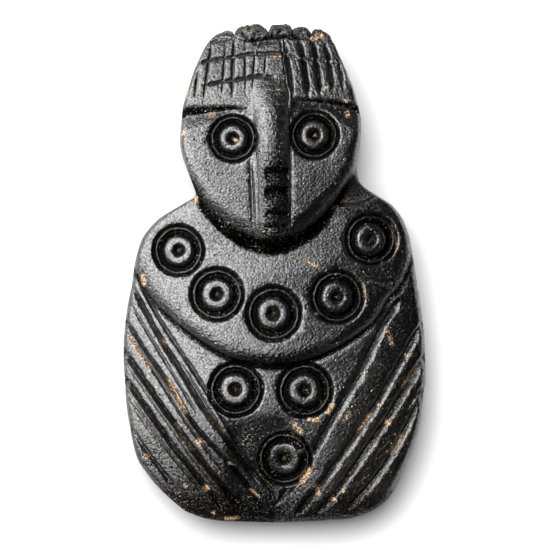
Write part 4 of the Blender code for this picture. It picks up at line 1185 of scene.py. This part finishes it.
class IdolStone(bpy.types.PropertyGroup):
    dark_stone: colour_property("Dark Stone", "Main colour of the stone", "#030303")
    pale_stone: colour_property("Pale Stone", "Clouds in the stone", "#070708")
    cloud_size: length_property("Cloud Size", "Size of the clouds in the stone", 3.0)
    film_earth: colour_property("Film Earth", "Thin film of earth round the deposits", "#2a1f15")
    rust_earth: colour_property("Rust Earth", "Darker earth in the cuts", "#705138")
    cream_earth: colour_property("Cream Earth", "Paler earth in the cuts", "#e8ceae")
    crumb_size: length_property("Crumb Size", "Size of the crumbs of earth", 0.22)
    earth_cover: share_property("Earth Cover", "How closely the earth lies where it clings", 0.69)
    grain_size: length_property("Grain Size", "Size of the stone's grain, as coarse as shows", 0.34)
    grain_height: length_property("Grain Height", "Relief of the stone's grain", 0.1)
    dull_size: length_property("Dull Size", "Size of the dull grains between the polished ones", 0.3)
    dull_share: share_property("Dull Share", "How much less the dull grains shine", 0.5)
    pitting_size: length_property("Pitting Size", "Size of the fine pitting in rough places", 0.3)
    rough_grain: share_property(
        "Rough Grain", "Relief of the fine pitting, as a share of the grain's", 1.2, 10.0)
    # Pale specks: partly mineral specks and partly painted glints, the brightest near white.
    dim_speck: colour_property("Dim Speck", "Colour of the darkest pale specks", "#49443f")
    bright_speck_and_glint: colour_property("Bright Speck", "Colour of the brightest pale specks", "#fff3da")
    speck_spacing: length_property("Speck Spacing", "Distance between pale specks", 0.27)
    speck_field: length_property("Speck Field", "Width of the fields in which they gather", 4.0)
    speck_gather: share_property("Speck Gather", "How much the specks keep to those fields", 0.25)
    # painted glints gather where the stone is pitted, cut or in painted shade
    speck_wear: share_property(
        "Speck Wear", "How much thicker they lie where the stone is pitted or cut", 0.035)
    speck_level: share_property("Speck Level", "Rarity of the specks", 0.822, 1.5)
    scratch_width: length_property("Scratch Width", "Width of the fine scratches", 0.22)
    scratch_length: length_property("Scratch Length", "Length of the fine scratches", 8.0)
    scratch_depth: length_property("Scratch Depth", "Depth of the fine scratches", 0.012)
    scratch_turns: bpy.props.FloatVectorProperty(
        name="Scratch Turns", description="Directions of the fine scratches", unit="ROTATION", size=3,
        default=[math.radians(angle) for angle in (35.0, -50.0, 80.0)])
    pit_spacing: length_property("Pit Spacing", "Distance between the places for a pit", 0.6)
    pit_depth: length_property("Pit Depth", "Depth of the fine pits", 0.08)
    roughness: share_property("Roughness", "Roughness of the polish", 0.285)
    polish_reach: share_property("Polish Reach", "Share of a cut's depth that the polish reaches", 0.28)
    rough_wear: share_property(
        "Rough Wear", "How far the polish misses the pitted places, as a share of a cut's depth", 0.22)
    grain_wear: share_property(
        "Grain Wear", "How much of the polish lies on the grain's peaks alone", 2.0, 3.0)
    cut_polish: share_property("Cut Polish", "Polish left at the bottom of the cuts", 0.04)
    ior: bpy.props.FloatProperty(
        name="IOR", description="Index of refraction of the polished face", min=1.0, max=3.0, default=2.5)


class IdolStage(bpy.types.PropertyGroup):
    floor_colour: colour_property("Floor Colour", "Colour of the studio floor", "#f4f4f4")
    key_power: bpy.props.FloatProperty(
        name="Key Power", description="Strength of the large light on the left", unit="POWER", min=0.0,
        default=20.5)
    sky_strength: bpy.props.FloatProperty(
        name="Sky Strength", description="Strength of the light that whitens the floor", min=0.0, default=5.2)


# ---- Making -------------------------------------------------------------------------------------------

class IDOL_OT_carve(bpy.types.Operator):
    """Carves the idol from one stone, with its drilled marks, scored lines and wear"""
    bl_idname = "idol.carve"
    bl_label = "Carve Idol"

    def execute(self, context):
        sizes = context.scene.idol_carving
        material = stone_material(context.scene.idol_stone)
        stone = bpy.data.objects.new(PIECE, blank_mesh())
        context.collection.objects.link(stone)

        marks = helper_object("marks", [(x * MM, y * MM, 0.0) for x, y, radius in RINGS], [],
                              {"radius": [radius * MM for x, y, radius in RINGS]})
        run_tree(stone, mark_tree(), {"Marks": marks, "Depth": sizes.mark_depth,
                                      "Wobble": sizes.mark_wobble, "Material": material})
        bpy.data.objects.remove(marks)

        scoring = groove_tree()
        for routes in (FLANK_GROOVES, FINE_LINES, HAIR_GROOVES, FACE_GROOVES):
            lines = helper_object("routes", *route_points(routes))
            run_tree(stone, scoring, {
                "Routes": lines, "Width": sizes.groove_width, "Depth": sizes.groove_depth,
                "Deepest": sizes.hidden_depth, "Roughness": sizes.groove_raggedness, "Material": material})
            bpy.data.objects.remove(lines)

        run_tree(stone, wear_tree(), {
            "Wave Height": sizes.wave_height, "Wave Scale": 1.0 / sizes.wave_size,
            "Grain Height": sizes.grain_height, "Grain Scale": 1.0 / sizes.grain_size,
            "Break Height": sizes.break_height, "Break Scale": 1.0 / sizes.break_size, "Material": material})
        thin(stone, MOST_TRIANGLES)
        stone.data.polygons.foreach_set("use_smooth", [True] * len(stone.data.polygons))
        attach(stone, BODY)
        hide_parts(NODE)
        return {"FINISHED"}


# The studio, in metres, degrees and millimetres of lens: a large low light on the left for the stone alone,
# and a broad even one for the floor alone, which whitens it and leaves a soft shadow on it.
FLOOR_REACH = 3.0
KEY_PLACE = (-0.62, 0.24, 0.46)
KEY_TURN = (0.0, -31.5, -21.0)
KEY_SIZE = (1.30, 1.0)
SKY_PLACE = (0.0, 0.0, 1.0)
SKY_TURN = (-17.0, 0.0, 28.0)
SKY_ANGLE = 43.0
WALL_COLOUR = "#ffffff"
CAMERA_PLACE = (0.00008, -0.00019, 1.2)
SENSOR_WIDTH = 36.0
LENS = 516.0
CLIP_END = 10.0
VIEW_GAMMA = 0.88        # deepens the blacks a little


class IDOL_OT_stage(bpy.types.Operator):
    """Lays the idol on a pale studio floor, with soft lights and a camera above it"""
    bl_idname = "idol.stage"
    bl_label = "Light Stage"

    def execute(self, context):
        stage = context.scene.idol_stage
        paper_floor(stage.floor_colour)

        key = add_light("key_softbox", "AREA", KEY_PLACE, KEY_TURN, stage.key_power, PIECE)
        key.shape = "RECTANGLE"
        key.size, key.size_y = KEY_SIZE
        sky = add_light("floor_sky", "SUN", SKY_PLACE, SKY_TURN, stage.sky_strength, FLOOR)
        sky.angle = math.radians(SKY_ANGLE)

        # The studio's walls are white to the camera, and give no light.
        world = bpy.data.worlds.new("white studio")
        context.scene.world = world
        world.use_nodes = True
        world.node_tree.nodes["Background"].inputs["Color"].default_value = hex_colour(WALL_COLOUR)
        for ray in ("diffuse", "glossy", "transmission", "scatter"):
            setattr(world.cycles_visibility, ray, False)

        lens = bpy.data.cameras.new("camera")
        lens.sensor_width = SENSOR_WIDTH
        lens.lens = LENS
        lens.clip_end = CLIP_END
        camera = bpy.data.objects.new("camera", lens)
        camera.location = CAMERA_PLACE
        context.collection.objects.link(camera)
        context.scene.camera = camera
        context.scene.view_settings.view_transform = "Standard"
        context.scene.view_settings.gamma = VIEW_GAMMA
        return {"FINISHED"}


def paper_floor(colour):
    """A wide sheet of matt studio paper: smooth uncoated card that scatters light and mirrors none."""
    paper = bpy.data.materials.new("matt studio paper")
    paper.use_nodes = True
    shader = paper.node_tree.nodes["Principled BSDF"]
    shader.inputs["Base Color"].default_value = colour
    shader.inputs["Roughness"].default_value = 1.0
    shader.inputs["Specular IOR Level"].default_value = 0.0
    mesh = bpy.data.meshes.new(FLOOR)
    corners = [(-1, -1), (1, -1), (1, 1), (-1, 1)]
    mesh.from_pydata([(x * FLOOR_REACH, y * FLOOR_REACH, 0.0) for x, y in corners], [], [range(len(corners))])
    mesh.materials.append(paper)
    floor = bpy.data.objects.new(FLOOR, mesh)
    bpy.context.collection.objects.link(floor)
    return floor


def add_light(name, kind, place, turn, power, lit):
    """A light that falls on one object alone."""
    lamp = bpy.data.lights.new(name, kind)
    lamp.energy = power
    light = bpy.data.objects.new(name, lamp)
    light.location = place
    light.rotation_euler = [math.radians(angle) for angle in turn]
    bpy.context.collection.objects.link(light)
    receivers = bpy.data.collections.new(name + "_receivers")
    receivers.objects.link(bpy.data.objects[lit])
    light.light_linking.receiver_collection = receivers
    return lamp


class IDOL_PT_panel(bpy.types.Panel):
    """Lists the idol's steps, with the sizes and colours that each one reads"""
    bl_idname = "IDOL_PT_panel"
    bl_label = "Carved Stone Idol"
    bl_space_type = "VIEW_3D"
    bl_region_type = "UI"
    bl_category = "Idol"

    def draw(self, context):
        for operator, groups in STEPS.items():
            box = self.layout.box()
            box.operator(operator)
            for group in groups:
                for name in GROUPS[group].__annotations__:
                    box.prop(getattr(context.scene, group), name)


STEPS = {"idol.carve": ("idol_carving", "idol_stone"), "idol.stage": ("idol_stage",)}
GROUPS = {"idol_carving": IdolCarving, "idol_stone": IdolStone, "idol_stage": IdolStage}
CLASSES = [*GROUPS.values(), IDOL_OT_carve, IDOL_OT_stage, IDOL_PT_panel]


def register():
    for kind in CLASSES:
        bpy.utils.register_class(kind)
    for name, kind in GROUPS.items():
        setattr(bpy.types.Scene, name, bpy.props.PointerProperty(type=kind))


def unregister():
    for name in GROUPS:
        delattr(bpy.types.Scene, name)
    for kind in reversed(CLASSES):
        bpy.utils.unregister_class(kind)


def main():
    register()
    bpy.ops.idol.carve()
    bpy.ops.idol.stage()


if __name__ == "__main__":
    main()
